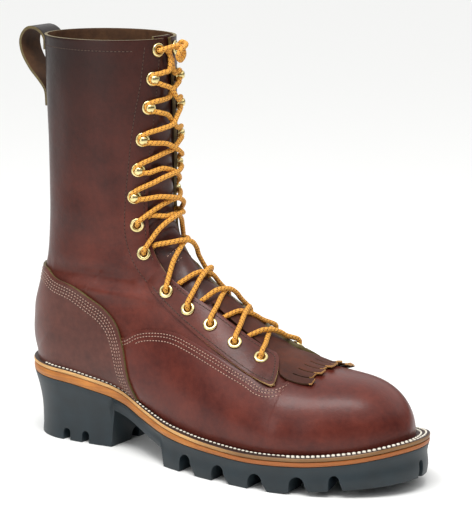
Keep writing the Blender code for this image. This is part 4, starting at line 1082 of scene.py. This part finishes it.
def eased(points, count):
    """A smooth line through points, evenly spaced."""
    points = np.asarray(points, float)
    ends = np.concatenate([[2 * points[0] - points[1]], points, [2 * points[-1] - points[-2]]])
    fine = []
    for a, b, c, d in zip(ends, ends[1:], ends[2:], ends[3:]):
        for t in np.linspace(0, 1, 24, endpoint=False):
            fine.append(0.5 * (2 * b + (c - a) * t + (2 * a - 5 * b + 4 * c - d) * t**2
                               + (3 * b - a - 3 * c + d) * t**3))
    fine = np.array([*fine, points[-1]])
    length = lengths(fine)
    return at_lengths(fine, length, np.linspace(0, length[-1], count))


loop_line = eased(LOOP_PATH, 60)
along = unit(np.gradient(loop_line, axis=0))
loop_line = loop_line + np.stack([-along[:, 1], along[:, 0]], 1) * LOOP_THICK / 2
loop_y = np.linspace(LOOP_WIDE / 2, -LOOP_WIDE / 2, 13)
pull_loop = laid("pull_loop_leather", [[(x, y, z) for y in loop_y] for x, z in loop_line])
as_leather(pull_loop, LOOP_THICK, (brown, olive_edge, lining))
fitted(pull_loop, "brown_leather", "pull_loop")

# Insole: the board that closes the bottom inside the upper. It keeps the form of its solid, which lies deep
# inside the boot.
insole = bpy.data.objects["insole"]
insole.data.materials.clear()
# Pressed leather board: buff and quite dull
insole.data.materials.append(material("buff_board", "8C7355", 0.8)[0])

# Eyelets and hooks: pressed from brass sheet and clenched through the leather. An eyelet is a rolled ring
# with a disc of painted shade in its hole; a hook stands on a ring and ends in a domed head, with room for
# the lace behind it.
# From the toe upwards: section row, length from the ridge, kind
LACING = (
    (10.3, 25, "eyelet"), (11.1, 28, "eyelet"), (11.85, 29, "eyelet"), (12.55, 31, "eyelet"),
    (13.35, 33, "eyelet"), (15.45, 32.5, "eyelet"), (19.9, 33, "eyelet"), (21.65, 33, "hook"),
    (22.7, 28.5, "hook"), (23.65, 24, "hook"), (24.6, 18.5, "hook"), (25.55, 15, "hook"),
    (27.05, 10, "eyelet"),
)
EYESTAY_END = 14.0
# Rings: radius of the middle, half thickness, half height
EYELET_RING, HOOK_RING = (3.75, 1.35, 0.95), (4.05, 1.1, 0.85)
# Discs: radius, thickness, height of the middle
EYELET_HOLE, HOOK_PLATE = (2.75, 0.2, 0.15), (3.9, 0.5, 0.3)
# Rounded parts of a hook: segments, rings, place, half sizes
HOOK_HEAD = (28, 14, (0.2, 0, 4.3), (3.1, 3.0, 1.6))
HOOK_NECK = (16, 12, (-2.2, 0, 2.4), (0.9, 2.2, 2.4))


def place_on(row, arc, lift):
    """A place on the leather, with the ways from the throat and up the boot, and the normal."""
    side = LATERAL if arc < 0 else MEDIAL
    here, over = skin(row, [arc], lift)[0], skin(row, [arc], lift + 1)[0]
    normal = over - here
    away = skin(row, [arc + side], lift)[0] - here
    away = unit(away - normal * (away @ normal))
    up = np.cross(normal, away) * -side
    return here, away, up if up[2] > 0 else -up, normal


def leather_top(row):
    """Lift of the leather that carries an eyelet."""
    return GAP + EYESTAY_THICK + 0.1 if row < EYESTAY_END else 0.1


def shape_of(*pieces):
    """Vertices and faces of some pieces, which are joined for it and then removed."""
    choose(pieces[0])
    for piece in pieces:
        piece.select_set(True)
    if len(pieces) > 1:
        bpy.ops.object.join()
    bpy.ops.object.transform_apply(location=True, rotation=True, scale=True)
    points = np.array([v.co for v in pieces[0].data.vertices])
    faces = [tuple(p.vertices) for p in pieces[0].data.polygons]
    bpy.data.objects.remove(pieces[0])
    return points, faces


def ring(radius, thick, high):
    """A rolled ring that lies flat."""
    bpy.ops.mesh.primitive_torus_add(major_segments=32, minor_segments=12, major_radius=radius,
                                     minor_radius=thick)
    made = bpy.context.object
    made.scale.z = high / thick
    made.location.z = high * 0.6
    return made


def disc(radius, thick, height):
    """A flat round plate."""
    bpy.ops.mesh.primitive_cylinder_add(vertices=32, radius=radius, depth=thick, location=(0, 0, height))
    return bpy.context.object


def dome(segments, rings, place, half_sizes):
    """A ball drawn out to half sizes."""
    bpy.ops.mesh.primitive_uv_sphere_add(segments=segments, ring_count=rings, radius=1, location=place)
    bpy.context.object.scale = half_sizes
    return bpy.context.object


def set_out(name, shape, kind, look):
    """Copies of a small shape at every place of one kind, on both sides, as one mesh."""
    points, faces = shape
    shapes = []
    for row, arc in [place[:2] for place in LACING if place[2] == kind]:
        for side in SIDES:
            here, away, _, normal = place_on(row, side * arc, leather_top(row))
            shapes.append(here + points @ np.stack([away, np.cross(normal, away), normal]))
    made = mesh_piece(name, *copies(shapes, faces))
    made.data.materials.append(look)
    smooth(made, 50)
    return made


def node_names(kind, count):
    """Names of the solids of one kind on both sides."""
    return [f"{kind}_{word}_{k}" for word in SIDE_WORDS.values() for k in range(1, count + 1)]


# Polished brass: pale yellow and bright, with a little tarnish in patches
brass = mottled("pale_brass", "C9B062", "F2E6B4", 0.24, Metallic=1.0)
eyelets = set_out("eyelet_rings", shape_of(ring(*EYELET_RING)), "eyelet", brass)
fitted(eyelets, "brass", *node_names("eyelet", 8))
# A flat disc of painted shade fills each eyelet's hole
openings = set_out("eyelet_openings", shape_of(disc(*EYELET_HOLE)), "eyelet", hole_shade)
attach(openings, "root")
hook_parts = ring(*HOOK_RING), disc(*HOOK_PLATE), dome(*HOOK_HEAD), dome(*HOOK_NECK)
hooks = set_out("lace_hooks", shape_of(*hook_parts), "hook", brass)
fitted(hooks, "brass", *node_names("hook", 5))

# Lace: a round braided cord, gold with brown flecks. It comes up through each eyelet and crosses to the row
# above, is caught behind the hooks, and ends in a small knot between the top eyelets.
LACE, LACE_SIDES, LACE_POINTS = 3.6, 10, 2600
# Local steps at an eyelet and at a hook: away from the throat, up, out
EYELET_STEPS = ((0.4, -0.2, -3.2), (0, 0, 0.4), (-1.2, 0.5, 2.6), (-4.2, 1.6, 3.4))
HOOK_STEPS = ((-6.0, -5.6, 2.5), (-2.6, -3.6, 2.3), (0.8, -2.4, 2.3), (2.1, 0, 2.3), (0.8, 2.4, 2.4),
              (-2.4, 3.0, 2.5), (-6.5, 2.8, 2.6))
# How far a crossing has risen on its way: between hooks by the side where it ends, and between eyelets
HOOK_RISE = {
    MEDIAL: ((0.2, 0.13), (0.35, 0.13), (0.5, 0.14), (0.65, 0.2), (0.8, 0.42)),
    LATERAL: ((0.2, 0.04), (0.35, 0.05), (0.5, 0.16), (0.65, 0.34), (0.8, 0.54)),
}
EYELET_RISE = ((0.2, 0.24), (0.35, 0.345), (0.5, 0.45), (0.65, 0.555), (0.8, 0.66))
# Height of a crossing over the leather, and how far the two laces part where they cross
HOOK_LIFT, EYELET_LIFT, CROSSING_PART = 2.6, 2.1, 1.5


def tube(name, path):
    """A length of lace along a path, with its turns and its length in millimetres as a UV map."""
    along = unit(np.gradient(path, axis=0))
    length = lengths(path)
    out = np.cross(along[0], (0.3, 0.2, 1.0))
    points = []
    for here, ahead in zip(path, along):
        out = unit(out - ahead * (out @ ahead))
        up = np.cross(ahead, out)
        for turn in np.linspace(0, 2 * math.pi, LACE_SIDES, endpoint=False):
            points.append(here + LACE / 2 * (out * math.cos(turn) + up * math.sin(turn)))
    faces = walls(LACE_SIDES, len(path))
    marks = [((k + turn) / LACE_SIDES, length[i + step]) for i in range(len(path) - 1)
             for k in range(LACE_SIDES) for turn, step in ((0, 0), (1, 0), (1, 1), (0, 1))]
    last = (len(path) - 1) * LACE_SIDES
    faces += [tuple(range(LACE_SIDES - 1, -1, -1)), tuple(range(last, last + LACE_SIDES))]
    marks += [(0, 0)] * 2 * LACE_SIDES
    mesh = bpy.data.meshes.new(name)
    mesh.from_pydata([tuple(p) for p in in_frame(points)], [], faces)
    mesh.uv_layers.new(name="along").data.foreach_set("uv", np.array(marks).ravel())
    made = bpy.data.objects.new(name, mesh)
    bpy.context.collection.objects.link(made)
    choose(made)
    bpy.ops.object.shade_smooth()
    return made


def station(row, arc, kind, side):
    """Points of the lace at an eyelet or a hook, from where it arrives to where it leaves."""
    here, away, up, normal = place_on(row, side * arc, leather_top(row))
    steps = EYELET_STEPS if kind == "eyelet" else HOOK_STEPS
    points = [here + away * a + up * b + normal * c for a, b, c in steps]
    if kind == "eyelet":
        gap = half_gap(row)
        behind = [(-0.16, gap - 3.5, 0.2), (-0.1, gap - 0.5, -2.2), (-0.06, (gap + arc) / 2, -3.4)]
        points = [skin(row + step, [side * a], lift)[0] for step, a, lift in behind] + points
    return points


def lace_run(side):
    """Half of the lace from the lowest eyelet to the top one, changing sides at each crossing."""
    path = station(*LACING[0], side)[3:]
    for k in range(1, len(LACING)):
        side = -side
        (last_row, last_arc, last_kind), (row, arc, kind) = LACING[k - 1:k + 1]
        start, end = last_arc - 6, half_gap(row) - 5 if kind == "eyelet" else arc - 9
        part = CROSSING_PART if (side > 0) == (k % 2 == 0) else -CROSSING_PART
        hooked = "hook" in (kind, last_kind)
        for t, rise in HOOK_RISE[side] if hooked else EYELET_RISE:
            lift = (HOOK_LIFT if hooked else EYELET_LIFT) + part * math.sin(math.pi * t)
            crossing = -side * (start - (start + end) * t)
            path.append(skin(last_row + (row - last_row) * rise, [crossing], lift)[0])
        path += station(row, arc, kind, side)
    return path[:-2]


lace_halves = [lace_run(side) for side in SIDES]
lace = tube("lace_cord", eased([*reversed(lace_halves[0]), *lace_halves[1]], LACE_POINTS))
fitted(lace, "lace", *[f"lace_crossing_{k:02d}" for k in range(1, 13)])

# Braided cord: gold strands with a painted highlight on their crests and painted shade in their dips, with
# one dark strand that shows as flecks.
# The braid is drawn coarser than a real one of this size, so that it shows.
BRAID_MM = 6.0
gold, tree, sockets = material("gold_braided_cord", "D08A28", 0.7)
place = node(tree, "SeparateXYZ", {"Vector": node(tree, "UVMap", {}, uv_map="along")}).outputs


def strands(sign, count):
    """A wave from -1 to 1 over the strands that run one way round the cord."""
    turn = node(tree, "Math", {0: place["Y"], 1: sign / BRAID_MM, 2: place["X"]}, operation="MULTIPLY_ADD")
    turns = node(tree, "Math", {0: turn, 1: count}, operation="MULTIPLY")
    angle = node(tree, "Math", {0: turns, 1: 2 * math.pi}, operation="MULTIPLY")
    return node(tree, "Math", {0: angle}, operation="SINE")


weave = node(tree, "Math", {0: strands(1, 4), 1: strands(-1, 4)}, operation="MULTIPLY")
share = node(tree, "MapRange", {"Value": weave, "From Min": -1, "From Max": 1})
# Painted highlight and shade: brown in the weave's dips, pale gold on its crests
base = node(tree, "MixRGB", {"Fac": share, "Color1": linear("B86C12"), "Color2": linear("F6BC4E")})
dark_strand = node(tree, "Math", {0: strands(1, 2), 1: 0.5}, operation="GREATER_THAN")
on_top = node(tree, "Math", {0: strands(-1, 4), 1: 0.0}, operation="GREATER_THAN")
fleck = node(tree, "Math", {0: dark_strand, 1: on_top}, operation="MULTIPLY")
node(tree, "MixRGB", {"Fac": fleck, "Color1": base, "Color2": linear("74340A")}, sockets["Base Color"])
node(tree, "Bump", {"Height": weave, "Strength": 0.5, "Distance": 0.3 * MM}, sockets["Normal"])
lace.data.materials.append(gold)

# Knot: the ends of the same cord, tied in front of the throat. Here it is a length of its own, which makes
# one small turn between the two top eyelets.
# Out from the ridge, y and z from the top eyelets' row
KNOT_TURN = ((7, -1, 2), (9, 4, 1), (10, 5.5, -4), (10.5, 1, -8), (12, -4.5, -5), (13.5, -3, 0), (13, 2, 1.5),
             (10, 8, 3), (5.2, 9, 4))
# Steps out of a top eyelet: out, towards the throat
KNOT_LEAD = ((0.8, 0.0), (2.6, 1.0))
top_row, top_arc, _ = LACING[-1]
ridge, _, _, out = place_on(top_row, -0.01, 0.0)
knot_turn = [ridge + out * step + np.array((0, y, z)) for step, y, z in KNOT_TURN]
leads = []
for side in SIDES:
    here, away, _, out = place_on(top_row, side * top_arc, leather_top(top_row))
    leads.append([here + out * step - away * inward for step, inward in KNOT_LEAD])
knot_line = eased([*leads[0], *knot_turn, *reversed(leads[1])], 90)
knot = tube("lace_knot_cord", knot_line)
knot.data.materials.append(gold)
fitted(knot, "lace", "lace_knot")
